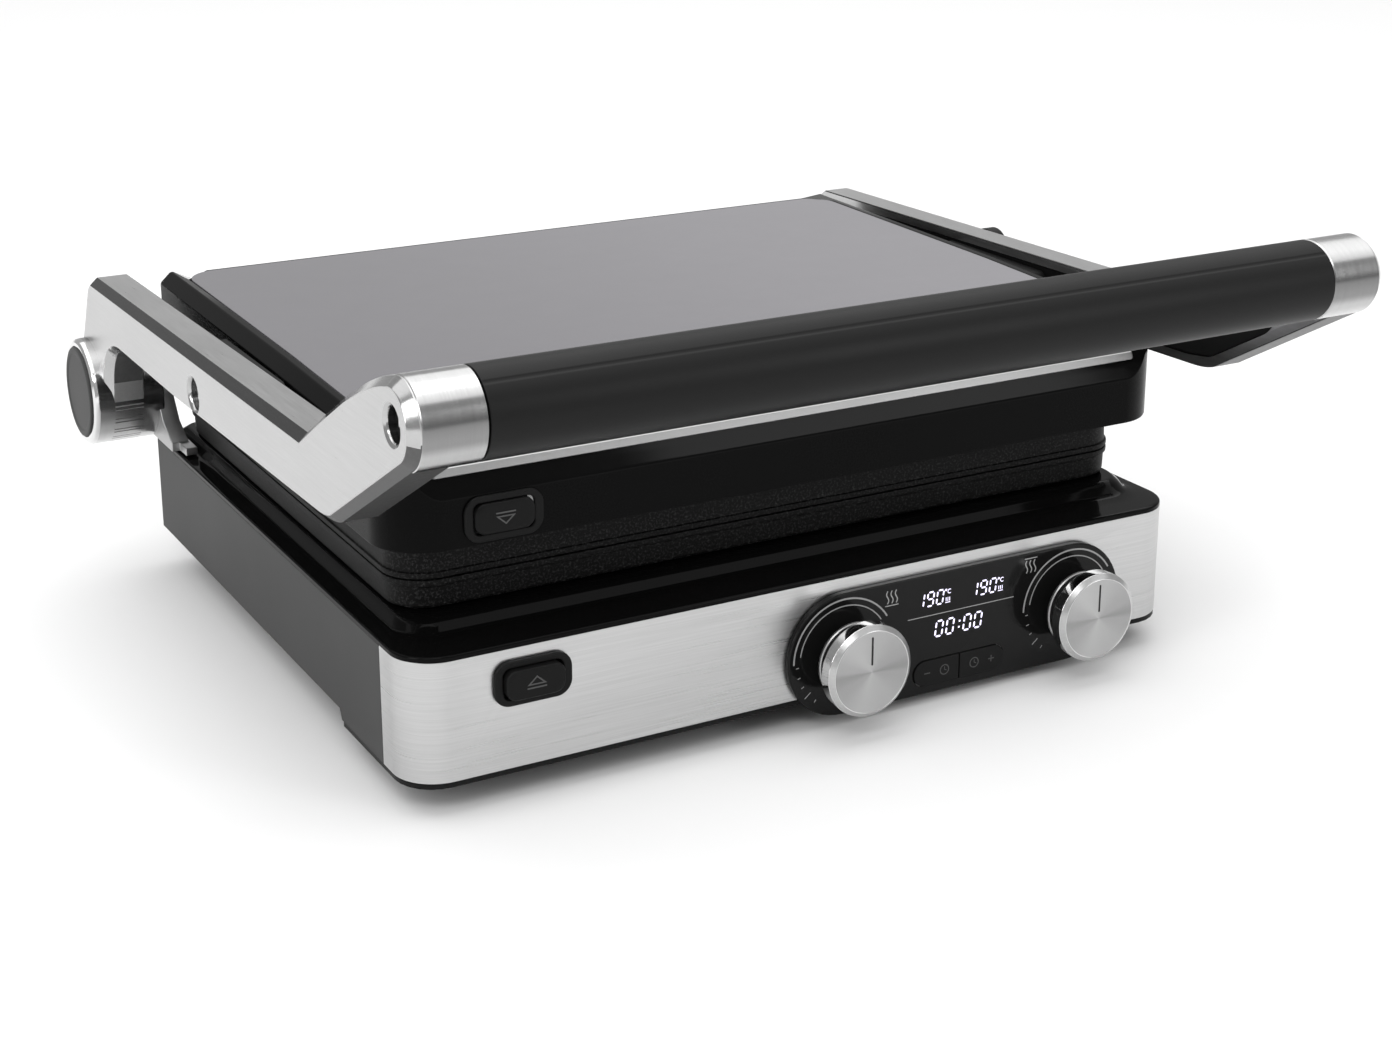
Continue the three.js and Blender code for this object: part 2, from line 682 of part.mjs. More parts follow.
// ---------------------------------------------------------------- arms and handle
function armOutline() {
  const s = new THREE.Shape();
  s.moveTo(118, 107.7);
  s.quadraticCurveTo(hingeY - hubRadius, 107.7, hingeY - hubRadius, hingeZ);
  s.absarc(hingeY, hingeZ, hubRadius, Math.PI, 2 * Math.PI + 0.35, false);
  s.lineTo(176, 106);
  s.lineTo(164, 127.6);
  s.lineTo(159, 130.7);
  s.lineTo(-93.5, 135.2);
  s.lineTo(-112.7, 146.8);
  s.lineTo(-135.3, 159.8);
  s.quadraticCurveTo(-158, 171.7, handleY + gripRadius * 0.34, handleZ + gripRadius * 0.94);
  s.absarc(handleY, handleZ, gripRadius, 0.39 * Math.PI, 1.335 * Math.PI, false);
  s.lineTo(-122, 113.7);
  s.quadraticCurveTo(-117, 111.5, -108, 111.4);
  s.lineTo(45, 107.9);
  return s;
}

const armPocket = [
  [112, 111.3], [45, 111.5], [-106, 114.9], [-119, 116.6], [-150, 134.2],
  [-157, 146], [-138, 154.4], [-94, 131.5], [146, 127.3], [140, 111.8],
];
const boreEndX = armInnerX - 1.7;
const leverY = 50;
const leverZ = 121.8;

// The right arm also carries the hinge release lever.
function arm(withLever) {
  const chamfer = { ...bevel(2.6, 2.3, 1), bevelOffset: -2.3, curveSegments: 5 };
  const blade = slabX(armOutline(), armInnerX, armOuterX - 2.6, chamfer);
  const trimmed = overlap(blade, box(armInnerX, armOuterX + 1, -300, 300, 0, 300));
  const hub = rodX(bracketX[1] + gap, hubOuterX, hingeY, hingeZ, hubRadius, 44);
  const stub = rodX(gripHalf, armInnerX + 3, handleY, handleZ, gripRadius, 40);
  const tools = [
    slabX(polygon(armPocket), armInnerX - 1, armOuterX - 3.5),
    rodX(capInnerX - gap, capOuterX + 1, hingeY, hingeZ, 19.4, 40),
    rodX(160, capInnerX - 0.5, hingeY, hingeZ, 6.3, 32),
    rodX(gripHalf - 1, boreEndX, handleY, handleZ, 8.3, 24),
    rodX(boreEndX - 2, armOuterX - 5, handleY, handleZ, 3.2, 20),
    rodX(armOuterX - 7, armOuterX + 2, handleY, handleZ, 5.6, 28),
    rodX(armInnerX - 4, armOuterX - 3, lidPivotY, lidPivotZ, 4.3, 24),
    rodX(armOuterX - 4.6, armOuterX + 2, lidPivotY, lidPivotZ, 6.4, 28),
  ];
  if (withLever) tools.push(rodX(armOuterX - 7, armOuterX + 2, leverY, leverZ, 3.4, 20));
  return carve(fuse(trimmed, hub, stub), ...tools);
}

function armLiner() {
  const inset = { ...bevel(0.01, 0, 1), bevelOffset: -0.4 };
  const sheet = slabX(polygon(armPocket), armInnerX + 0.6, armInnerX + 3, inset);
  return carve(sheet, rodX(armInnerX - 4, armInnerX + 6, lidPivotY, lidPivotZ, 5, 24));
}

function pivotBlock() {
  const side = roundedRect(lidPivotY - 36, lidPivotY + 35, 109, 128, 4);
  const block = slabX(side, lidHalf + 1.7, armInnerX - gap, { curveSegments: 4 });
  return carve(block, rodX(160, 180, lidPivotY, lidPivotZ, 4.3, 24));
}

function lidPivotPin() {
  return fuse(
    rodX(150.5, armOuterX - 3.5, lidPivotY, lidPivotZ, 4, 24),
    rodX(armOuterX - 4.3, armOuterX - 2.4, lidPivotY, lidPivotZ, 6.1, 28),
  );
}

function handleScrew() {
  return carve(
    fuse(
      rodX(boreEndX - 4.3, armOuterX - 6, handleY, handleZ, 2.9, 20),
      rodX(armOuterX - 6.7, armOuterX - 3.2, handleY, handleZ, 5.2, 28),
    ),
    rodX(armOuterX - 5, armOuterX, handleY, handleZ, 2.3, 6),
  );
}

add('arm_right', arm(true), castAluminium);
add('arm_left', mirrored(arm(false)), castAluminium);
addPair('arm_liner', armLiner(), satinBlack);
addPair('pivot_block', pivotBlock(), satinBlack);
addPair('lid_pivot_pin', lidPivotPin(), polished);
addPair('hub_cap', rodX(capInnerX, capOuterX, hingeY, hingeZ, 19.1, 40), charcoal);
addPair('handle_screw', handleScrew(), polished);

const gripReach = gripHalf - gap;
const grip = carve(
  rodX(-gripReach, gripReach, handleY, handleZ, gripRadius, 48),
  rodX(-170, 170, handleY, handleZ, 8.3, 24),
);
add('handle_grip', grip, gripBlack);
const core = carve(
  rodX(-boreEndX + gap, boreEndX - gap, handleY, handleZ, 8, 24),
  rodX(-180, 180, handleY, handleZ, 6.8, 24),
);
add('handle_core', core, steel);

function releaseLever() {
  const tail = polygon([
    [leverY, leverZ - 6],
    [leverY + 27, leverZ - 6],
    [leverY + 27, leverZ - 1],
    [leverY, leverZ + 6],
  ]);
  return fuse(
    slabX(tail, armOuterX + gap, capOuterX - 2),
    rodX(armOuterX + gap, capOuterX, leverY, leverZ, 10, 32),
    rodX(armOuterX - 5, armOuterX + 1, leverY, leverZ, 3, 20),
  );
}
add('hinge_release_lever', releaseLever(), satinBlack);

export default grill;
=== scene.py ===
"""Contact grill with a floating lid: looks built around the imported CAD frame.

Lengths are in millimetres and become metres when a mesh is made. +X right, -Y front, +Z up.
"""

import math

import bmesh
import bpy
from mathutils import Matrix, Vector


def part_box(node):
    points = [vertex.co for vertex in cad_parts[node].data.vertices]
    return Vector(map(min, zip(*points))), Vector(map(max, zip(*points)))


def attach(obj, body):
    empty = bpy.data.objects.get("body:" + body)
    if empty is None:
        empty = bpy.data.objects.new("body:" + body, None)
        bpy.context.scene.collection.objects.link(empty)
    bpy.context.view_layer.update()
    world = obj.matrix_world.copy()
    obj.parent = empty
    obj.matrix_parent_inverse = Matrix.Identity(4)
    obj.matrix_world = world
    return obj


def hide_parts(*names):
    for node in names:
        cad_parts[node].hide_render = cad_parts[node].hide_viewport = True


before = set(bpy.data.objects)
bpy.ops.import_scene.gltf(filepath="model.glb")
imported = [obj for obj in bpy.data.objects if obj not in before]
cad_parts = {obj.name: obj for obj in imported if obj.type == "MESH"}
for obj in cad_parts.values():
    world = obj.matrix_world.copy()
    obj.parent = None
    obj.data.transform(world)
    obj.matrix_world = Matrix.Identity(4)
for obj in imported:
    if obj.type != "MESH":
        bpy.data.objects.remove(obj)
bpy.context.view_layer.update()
MM = 0.001
TAU = 2 * math.pi


# ------------------------------------------------------------------ places, from the frame
def span(node):
    """Lowest and highest X, Y and Z of a CAD node, in millimetres."""
    low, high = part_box(node)
    return [(low[i] / MM, high[i] / MM) for i in range(3)]


def middle(node):
    return [(low + high) / 2 for low, high in span(node)]


GAP = 0.3
BASE_HALF = span("front_panel")[0][1]
BASE_FRONT = span("front_panel")[1][0]
BASE_REAR = span("side_panel_right")[1][1] + GAP
PANEL_REAR = span("front_panel")[1][1]
PANEL_Z = span("front_panel")[2]
DECK_Z = span("deck")[2]
BASE_CORNER = 16

PLATE_HALF = span("lower_plate")[0][1]
PLATE_Y = span("lower_plate")[1]
PLATE_BOTTOM = DECK_Z[1] + GAP
PLATE_FACE = {"lower": span("lower_plate")[2][1], "upper": span("upper_plate")[2][0]}
PLATE_TOP = span("upper_plate")[2][1]
WELL = 5.6  # depth of the well between the ribs
RIB_PITCH = 11.0
DRAIN_IN = 14  # from the plate's rear edge to the drain

LID_HALF = span("lid_shell")[0][1]
LID_Y = span("lid_shell")[1]
LID_BOTTOM = span("lid_shell")[2][0]
LID_PANEL = span("lid_top_panel")
TRIM = span("lid_trim")

HINGE_Y, HINGE_Z = middle("hub_cap_right")[1:]
HUB_RADIUS = 22.5
HUB_OUTER = span("arm_right")[0][1]
HUB_INNER = span("arm_right")[0][0]
CAP_X = span("hub_cap_right")[0]
HANDLE_Y, HANDLE_Z = middle("handle_grip")[1:]
GRIP_HALF = span("handle_grip")[0][1]
GRIP_RADIUS = (span("handle_grip")[2][1] - span("handle_grip")[2][0]) / 2
PIVOT_Y, PIVOT_Z = middle("lid_pivot_pin_right")[1:]
LEVER_X = span("hinge_release_lever")[0]
HINGE_SPOT, HANDLE_SPOT = (0, HINGE_Y, HINGE_Z), (0, HANDLE_Y, HANDLE_Z)
PIVOT_SPOT, LEVER_SPOT = (0, PIVOT_Y, PIVOT_Z), (0, 50, 121.8)
ARM_X = (span("pivot_block_right")[0][1] + GAP, LEVER_X[0] + 5.0)

(FASCIA_FRONT, FASCIA_BACK), FASCIA_SPAN_Z = span("control_fascia")[1:]
FASCIA_RADIUS = (FASCIA_SPAN_Z[1] - FASCIA_SPAN_Z[0]) / 2
FASCIA_Z = (FASCIA_SPAN_Z[1] + FASCIA_SPAN_Z[0]) / 2
KNOB_X = {side: middle(f"knob_{side}")[0] for side in ("left", "right")}
KNOB_FRONT, KNOB_BACK = span("knob_left")[1]
KNOB_RADIUS = (span("knob_left")[2][1] - span("knob_left")[2][0]) / 2
DISPLAY_X = (KNOB_X["left"] + KNOB_X["right"]) / 2


# ------------------------------------------------------------------ outlines
def arc(u, v, radius, start, end, steps):
    """Points of an arc about (u, v), angles in degrees, both ends included."""
    turn = [math.radians(start + (end - start) * i / steps) for i in range(steps + 1)]
    return [(u + radius * math.cos(t), v + radius * math.sin(t)) for t in turn]


def rounded(u0, u1, v0, v1, low, high=None, steps=10):
    """Rounded rectangle: radius low at its low-v corners and high at its high-v corners."""
    high = low if high is None else high
    return (
        arc(u1 - low, v0 + low, low, -90, 0, steps)
        + arc(u1 - high, v1 - high, high, 0, 90, steps)
        + arc(u0 + high, v1 - high, high, 90, 180, steps)
        + arc(u0 + low, v0 + low, low, 180, 270, steps)
    )


def quadratic(a, b, c, steps=10):
    """Points of a quadratic curve from a to c with control point b, the first left out."""
    found = []
    for i in range(1, steps + 1):
        t = i / steps
        s = 1 - t
        found.append(tuple(s * s * a[k] + 2 * s * t * b[k] + t * t * c[k] for k in (0, 1)))
    return found


def anticlockwise(points):
    area = sum(a[0] * b[1] - b[0] * a[1] for a, b in zip(points, points[1:] + points[:1]))
    return points[::-1] if area < 0 else points


def inset_loop(points, depth):
    """A closed outline moved inwards, the outline running anticlockwise."""
    count = len(points)
    moved = []
    for i, (u, v) in enumerate(points):
        before = Vector(points[i]) - Vector(points[i - 1])
        after = Vector(points[(i + 1) % count]) - Vector(points[i])
        n0 = Vector((-before.y, before.x)).normalized()
        n1 = Vector((-after.y, after.x)).normalized()
        n = n0 + n1
        n = n / max(n.dot(n0), 0.6)
        moved.append((u + depth * n.x, v + depth * n.y))
    return moved


def round_corners(points, radius, steps=5):
    """A polygon with each corner replaced by a curve of about that radius."""
    found = []
    count = len(points)
    for i in range(count):
        corner = Vector(points[i])
        ends = []
        for other in (Vector(points[i - 1]), Vector(points[(i + 1) % count])):
            way = other - corner
            ends.append(corner + way.normalized() * min(radius, way.length * 0.45))
        found.append(tuple(ends[0]))
        found += quadratic(tuple(ends[0]), tuple(corner), tuple(ends[1]), steps)
    return found


# ------------------------------------------------------------------ meshes
class Solid:
    """Points in millimetres, and faces with the number of their material."""

    def __init__(self):
        self.points = []
        self.faces = []
        self.mats = []

    def ring(self, points):
        start = len(self.points)
        self.points += [tuple(p) for p in points]
        return list(range(start, len(self.points)))

    def face(self, corners, mat=0):
        self.faces.append(tuple(corners))
        self.mats.append(mat)

    def bridge(self, a, b, mat=0):
        for i in range(len(a)):
            self.face((a[i - 1], a[i], b[i], b[i - 1]), mat)

    def loft(self, rings, mats=None, closed=False):
        """Joins rings of points. Closed joins last to first; otherwise both ends are capped."""
        laid = [self.ring(r) for r in rings]
        mats = mats or [0] * len(laid)
        for i in range(len(laid) - 1):
            self.bridge(laid[i], laid[i + 1], mats[i])
        if closed:
            self.bridge(laid[-1], laid[0], mats[-1])
        else:
            self.face(reversed(laid[0]), mats[0])
            self.face(laid[-1], mats[-1])
        return self

    def turned(self, profile, centre, axis, sides=96, mats=None, closed=False):
        """Turns (radius, distance along the axis) pairs about an X, Y or Z axis through centre."""
        rings = []
        for radius, along in profile:
            ring = []
            for i in range(sides):
                t = TAU * i / sides
                u, v = radius * math.cos(t), radius * math.sin(t)
                spot = {"x": (along, u, v), "y": (u, along, v), "z": (u, v, along)}[axis]
                ring.append(tuple(c + s for c, s in zip(centre, spot)))
            rings.append(ring)
        return self.loft(rings, mats, closed)

    def prism(self, outline, plane, low, high, mat=0):
        """A straight prism: plane x has outlines in Y and Z, y in X and Z, z in X and Y."""
        rings = [[place(plane, u, v, w) for u, v in outline] for w in (low, high)]
        return self.loft(rings, [mat, mat])


SLOT_COUNT = 8  # empty material slots that carry each face's number through the booleans


def place(plane, u, v, w):
    return {"x": (w, u, v), "y": (u, w, v), "z": (u, v, w)}[plane]


def mesh_object(name, solid):
    mesh = bpy.data.meshes.new(name)
    for _ in range(SLOT_COUNT):
        mesh.materials.append(None)
    mesh.from_pydata([[c * MM for c in p] for p in solid.points], [], solid.faces)
    mesh.polygons.foreach_set("material_index", solid.mats)
    work = bmesh.new()
    work.from_mesh(mesh)
    bmesh.ops.remove_doubles(work, verts=work.verts, dist=1e-7)
    bmesh.ops.recalc_face_normals(work, faces=work.faces)
    work.to_mesh(mesh)
    work.free()
    made = bpy.data.objects.new(name, mesh)
    bpy.context.scene.collection.objects.link(made)
    return made


def cutter(solid):
    return mesh_object("cutter", solid)


def boolean(target, tools, operation="DIFFERENCE"):
    """Applies exact booleans to target and removes the tools."""
    for tool in tools:
        change = target.modifiers.new("boolean", "BOOLEAN")
        change.operation = operation
        change.solver = "EXACT"
        change.object = tool
        bpy.context.view_layer.update()
        done = target.evaluated_get(bpy.context.evaluated_depsgraph_get())
        mesh = bpy.data.meshes.new_from_object(done)
        target.modifiers.clear()
        target.data = mesh
        bpy.data.objects.remove(tool)
    return target


def joined(target, other):
    """Adds the faces of other to target and removes other."""
    work = bmesh.new()
    work.from_mesh(target.data)
    work.from_mesh(other.data)
    work.to_mesh(target.data)
    work.free()
    bpy.data.objects.remove(other)


def bevelled(obj, width, segments=2, angle=32):
    bevel = obj.modifiers.new("edge_round", "BEVEL")
    bevel.width = width * MM
    bevel.segments = segments
    bevel.limit_method = "ANGLE"
    bevel.angle_limit = math.radians(angle)
    bevel.use_clamp_overlap = True
    return obj


AREA_STEP = 3e-7  # faces whose areas differ by more than 0.3 mm2 count as larger and smaller


def even_normals(obj):
    normals = obj.modifiers.new("normals", "WEIGHTED_NORMAL")
    normals.weight = 100
    normals.thresh = AREA_STEP
    return normals


def shaded(obj, angle=40):
    """Smooth faces, creases above the angle, and normals that follow the large faces."""
    mesh = obj.data
    mesh.polygons.foreach_set("use_smooth", [True] * len(mesh.polygons))
    mesh.set_sharp_from_angle(angle=math.radians(angle))
    even_normals(obj).keep_sharp = True
    return obj


def piece(made, body, mats, stands_for=(), bevel=0.0, angle=40):
    """Finishes an object: materials, rounded edges, normals, body and the nodes it replaces."""
    numbers = [face.material_index for face in made.data.polygons]
    made.data.materials.clear()
    for mat in mats:
        made.data.materials.append(mat)
    if len(mats) > 1:
        made.data.polygons.foreach_set("material_index", numbers)
    if bevel:
        bevelled(made, bevel)
    shaded(made, angle)
    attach(made, body)
    if stands_for:
        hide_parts(*stands_for)
    return made


def mirror_mesh(source, name):
    """A new object whose mesh is source's mesh mirrored in X."""
    mesh = source.data.copy()
    mesh.name = name
    for vertex in mesh.vertices:
        vertex.co.x = -vertex.co.x
    mesh.flip_normals()
    made = bpy.data.objects.new(name, mesh)
    bpy.context.scene.collection.objects.link(made)
    return made


# ------------------------------------------------------------------ materials
def grey(level):
    return (level, level, level, 1)


def add_node(mat, kind, inputs=None, **settings):
    """A shader node of mat: its settings, then its inputs, each a value or a socket to link."""
    node = mat.node_tree.nodes.new("ShaderNode" + kind)
    for name, value in settings.items():
        setattr(node, name, value)
    for name, value in (inputs or {}).items():
        if isinstance(value, bpy.types.NodeSocket):
            mat.node_tree.links.new(value, node.inputs[name])
        else:
            node.inputs[name].default_value = value
    return node.outputs


def from_centre(mat, coords, centre):
    return add_node(
        mat, "VectorMath", {0: coords, 1: [c * MM for c in centre]}, operation="SUBTRACT"
    )["Vector"]


def multiplied(mat, base, factor, stops):
    """The colour base times a ramp of (place, level) stops read at factor."""
    ramp = mat.node_tree.nodes.new("ShaderNodeValToRGB")
    ramp.color_ramp.interpolation = "EASE"
    marks = ramp.color_ramp.elements
    while len(marks) < len(stops):
        marks.new(0.5)
    for mark, (spot, _) in zip(marks, stops):
        mark.position = spot
    for mark, (_, level) in zip(marks, stops):
        mark.color = grey(level)
    mat.node_tree.links.new(factor, ramp.inputs["Fac"])
    return add_node(
        mat, "Mix", {"Factor": 1.0, "A": base, "B": ramp.outputs["Color"]},
        data_type="RGBA", blend_type="MULTIPLY",
    )["Result"]


def material(
    name, color, roughness, metallic=0.0, specular=0.5, grain=(900, 900, 900), color_change=0.08,
    rough_change=0.06, bump=0.05, cloud=0.04, wear=0.0, anisotropic=0.0, tangent=None, spin=None,
    emission=None, specks=None, painted_light_fan=None, painted_reflection_ramp=None,
):
    """Principled surface whose colour, roughness and bump come from stretched noise.

    grain is the noise's scale per metre along X, Y and Z, or per metre of radius where spin
    gives the (axis, centre) of concentric turning marks. wear lightens convex edges. specks is
    the part of the noise that goes from dark to light. fan is (axis, centre, stops): a ramp of
    painted highlight and shade round an axis. fade is a ramp across the lid that paints a
    reflection gradient, darker towards the lid's left side.
    """
    mat = bpy.data.materials.new(name)
    mat.use_nodes = True
    links = mat.node_tree.links
    shader = mat.node_tree.nodes["Principled BSDF"].inputs
    shader["Metallic"].default_value = metallic
    shader["Specular IOR Level"].default_value = specular
    shader["Anisotropic"].default_value = anisotropic
    coords = add_node(mat, "TexCoord")["Object"]
    detail = {"Detail": 4.0, "Roughness": 0.65}
    if spin is None:
        spot = add_node(mat, "Mapping", {"Vector": coords, "Scale": grain})["Vector"]
        fine = add_node(mat, "TexNoise", {"Vector": spot, "Scale": 1.0, **detail})["Fac"]
    else:
        axis, centre = spin
        across = [0 if k == axis else 1 for k in "xyz"]
        away = from_centre(mat, coords, centre)
        flat = add_node(mat, "VectorMath", {0: away, 1: across}, operation="MULTIPLY")["Vector"]
        radius = add_node(mat, "VectorMath", {0: flat}, operation="LENGTH")["Value"]
        fine = add_node(
            mat, "TexNoise", {"W": radius, "Scale": grain[0], **detail}, noise_dimensions="1D"
        )["Fac"]
    broad = add_node(mat, "TexNoise", {"Vector": coords, "Scale": 14.0, "Detail": 3.0})["Fac"]

    pick = fine
    if specks:
        low, high = specks
        limits = {"From Min": low, "From Max": high, "Value": fine}
        pick = add_node(mat, "MapRange", limits)["Result"]
    dark = tuple(c * (1 - color_change) for c in color[:3]) + (1,)
    light = tuple(min(1.0, c * (1 + color_change)) for c in color[:3]) + (1,)
    base = add_node(mat, "Mix", {"A": dark, "B": light, "Factor": pick}, data_type="RGBA")["Result"]
    # painted highlight and shade: the colour times a ramp of levels round the axis
    if painted_light_fan:
        axis, centre, stops = painted_light_fan
        quarter = math.radians(90)
        turn = (0, quarter, 0) if axis == "x" else (quarter, 0, 0)
        away = from_centre(mat, coords, centre)
        round_it = add_node(mat, "Mapping", {"Rotation": turn, "Vector": away})["Vector"]
        sweep = add_node(mat, "TexGradient", {"Vector": round_it}, gradient_type="RADIAL")["Fac"]
        base = multiplied(mat, base, sweep, stops)
    # painted reflection gradient: the colour times a ramp from the lid's left side to its right
    if painted_reflection_ramp:
        x = add_node(mat, "SeparateXYZ", {"Vector": coords})["X"]
        reach = LID_HALF * MM
        along = add_node(mat, "MapRange", {"From Min": -reach, "From Max": reach, "Value": x})
        base = multiplied(mat, base, along["Result"], painted_reflection_ramp)

    least, most = max(0.02, roughness - rough_change), roughness + rough_change
    rough = add_node(mat, "MapRange", {"To Min": least, "To Max": most, "Value": fine})["Result"]
    smudge = add_node(mat, "MapRange", {"To Min": -cloud, "To Max": cloud, "Value": broad})
    parts = {0: rough, 1: smudge["Result"]}
    total = add_node(mat, "Math", parts, operation="ADD", use_clamp=True)["Value"]
    links.new(total, shader["Roughness"])
    if wear:
        convex = add_node(mat, "NewGeometry")["Pointiness"]
        edge = add_node(
            mat, "MapRange", {"From Min": 0.53, "From Max": 0.62, "To Max": wear, "Value": convex}
        )["Result"]
        worn = tuple(min(1.0, c * 1.6 + 0.03) for c in color[:3]) + (1,)
        base = add_node(
            mat, "Mix", {"B": worn, "Factor": edge, "A": base}, data_type="RGBA"
        )["Result"]
    links.new(base, shader["Base Color"])
    if bump:
        relief = {"Strength": bump, "Distance": 0.1 * MM, "Height": fine}
        links.new(add_node(mat, "Bump", relief)["Normal"], shader["Normal"])
    if tangent:
        lay = add_node(mat, "Tangent", direction_type="RADIAL", axis=tangent)
        links.new(lay["Tangent"], shader["Tangent"])
    if emission:
        links.new(base, shader["Emission Color"])
        shader["Emission Strength"].default_value = emission
    return mat


# painted highlights and shade round a knob face, from 9 o'clock over 12 o'clock, and painted
# reflection bands round a turned rod
PAINTED_FACE_HIGHLIGHTS = [
    (0.0, 0.66), (0.03, 0.84), (0.14, 1.0), (0.27, 0.90), (0.44, 0.78), (0.5, 0.62), (0.53, 0.78),
    (0.68, 0.94), (0.79, 1.0), (0.93, 0.80), (1.0, 0.66),
]

brushed_steel = material(
    "brushed_steel", grey(0.52), 0.30, 1.0, grain=(18, 18, 1500), color_change=0.22,
    rough_change=0.08, bump=0.16, cloud=0.04, wear=0.3, anisotropic=0.6, tangent="Z",
)
arm_metal = material(
    "brushed_cast_aluminium", grey(0.50), 0.32, 1.0, grain=(1300, 40, 1300), color_change=0.16,
    rough_change=0.08, bump=0.12, cloud=0.05, wear=0.6,
)
polished = material(
    "polished_metal", grey(0.72), 0.12, 1.0, grain=(300, 300, 300), color_change=0.03,
    rough_change=0.03, bump=0.0, cloud=0.02,
)
plated_steel = material(
    "plated_steel", grey(0.42), 0.38, 1.0, grain=(500, 500, 500), color_change=0.08, bump=0.03,
)
element_metal = material(
    "heating_element_sheath", grey(0.18), 0.5, 0.8, grain=(700, 700, 700), color_change=0.2,
)
# the lid glass is painted darker towards the lid's left side: a painted reflection gradient
glass_panel = material(
    "lid_dark_glass", (0.262, 0.256, 0.272, 1), 0.20, 0.25, specular=0.4, grain=(60, 60, 60),
    color_change=0.03, rough_change=0.015, bump=0.0, cloud=0.03, painted_reflection_ramp=[(0.0, 0.74), (1.0, 1.0)],
)
gloss_black = material(
    "gloss_black", grey(0.003), 0.08, specular=0.06, grain=(160, 160, 160), color_change=0.15,
    rough_change=0.02, bump=0.006, cloud=0.03,
)
satin_black = material(
    "satin_black", grey(0.005), 0.42, specular=0.12, grain=(1800, 1800, 1800), color_change=0.25,
    bump=0.10, cloud=0.05, wear=0.15,
)
lid_satin = material(
    "lid_satin_black", grey(0.0022), 0.26, specular=0.05, grain=(1500, 1500, 1500),
    color_change=0.2,
    bump=0.06, cloud=0.05,
)
grip_black = material(
    "grip_black", grey(0.006), 0.42, specular=0.16, grain=(1700, 2600, 2600), color_change=0.3,
    bump=0.20, cloud=0.05,
)
charcoal = material(
    "charcoal_plastic", grey(0.045), 0.5, specular=0.15, grain=(1700, 1700, 1700), color_change=0.2,
    bump=0.12, cloud=0.05, wear=0.1,
)
non_stick = material(
    "non_stick_cast", grey(0.020), 0.50, specular=0.10, grain=(1100, 1100, 1100), color_change=0.88,
    rough_change=0.2, bump=0.8, cloud=0.04, specks=(0.50, 0.72),
)
rubber = material(
    "rubber", grey(0.012), 0.8, specular=0.3, grain=(1200, 1200, 1200), color_change=0.3, bump=0.2,
)
board_green = material(
    "circuit_board", (0.012, 0.07, 0.03, 1), 0.5, grain=(400, 400, 400), color_change=0.3,
    bump=0.05,
)
fascia_glass = material(
    "fascia_gloss", grey(0.008), 0.10, specular=0.14, grain=(200, 200, 200), color_change=0.1,
    rough_change=0.02, bump=0.0, cloud=0.02,
)
print_grey = material(
    "printed_grey", grey(0.34), 0.4, grain=(900, 900, 900), color_change=0.1, bump=0.0,
)
led_white = material(
    "led_white", (0.80, 0.76, 1.0, 1), 0.4, grain=(700, 700, 700), color_change=0.1, bump=0.0,
    emission=1.0,
)
pointer_dark = material(
    "pointer_dark", grey(0.04), 0.5, 0.6, grain=(900, 900, 900), color_change=0.2,
)
icon_black = material(
    "icon_black", grey(0.05), 0.3, specular=0.5, grain=(900, 900, 900), color_change=0.2, bump=0.02,
)
# the spun face's conical highlights and shade are painted into its colour as a ramp round the
# knob's axis, besides its real anisotropy
knob_face = {
    side: material(
        f"knob_face_{side}", grey(0.46), 0.22, 1.0, grain=(2600, 0, 0), color_change=0.10,
        rough_change=0.05, bump=0.10, cloud=0.02, anisotropic=0.85, tangent="Y",
        spin=("y", (x, 0, FASCIA_Z)), painted_light_fan=("y", (x, 0, FASCIA_Z), PAINTED_FACE_HIGHLIGHTS),
    )
    for side, x in KNOB_X.items()
}
knob_chrome = material(
    "knob_chrome", grey(0.75), 0.06, 1.0, grain=(200, 200, 200), color_change=0.02,
    rough_change=0.02, bump=0.0, cloud=0.01,
)
# painted reflection bands for the hub and the handle socket, as levels round the rod's axis
PAINTED_ROD_REFLECTIONS = [
    (0.0, 0.80), (0.09, 1.0), (0.16, 0.80), (0.21, 0.42), (0.27, 0.34), (0.33, 0.62), (0.40, 1.0),
    (0.5, 0.86), (0.6, 1.0), (0.7, 0.5), (0.85, 0.9), (1.0, 0.80),
]
# turned hub and socket: turning marks, with painted reflection bands round the hinge and handle
# axes
hub_metal, socket_metal = [
    material(
        name, grey(0.60), 0.20, 1.0, grain=(1500, 25, 25), color_change=0.12, rough_change=0.06,
        bump=0.05, cloud=0.05, painted_light_fan=("x", spot, PAINTED_ROD_REFLECTIONS),
    )
    for name, spot in (("turned_hub", HINGE_SPOT), ("turned_socket", HANDLE_SPOT))
]
chamfer_metal = material(
    "polished_chamfer", grey(0.45), 0.16, 1.0, grain=(900, 30, 900), color_change=0.08,
    rough_change=0.04, bump=0.04, cloud=0.03,
)
# polished metal painted almost black for the arm's top chamfer and the pivot countersink: a painted
# dark reflection
chamfer_painted_dark = material(
    "polished_chamfer_painted_dark", grey(0.07), 0.22, 0.9, specular=0.3, grain=(900, 30, 900),
    color_change=0.2, rough_change=0.05, bump=0.05, cloud=0.04,
)
# the arm's downward faces at the handle end and under the hub are painted dark: painted shadow
cast_shadow = material(
    "painted_shadow_underside", grey(0.10), 0.40, 0.7, specular=0.3, grain=(500, 500, 500),
    color_change=0.25, rough_change=0.1, bump=0.15, cloud=0.06,
)


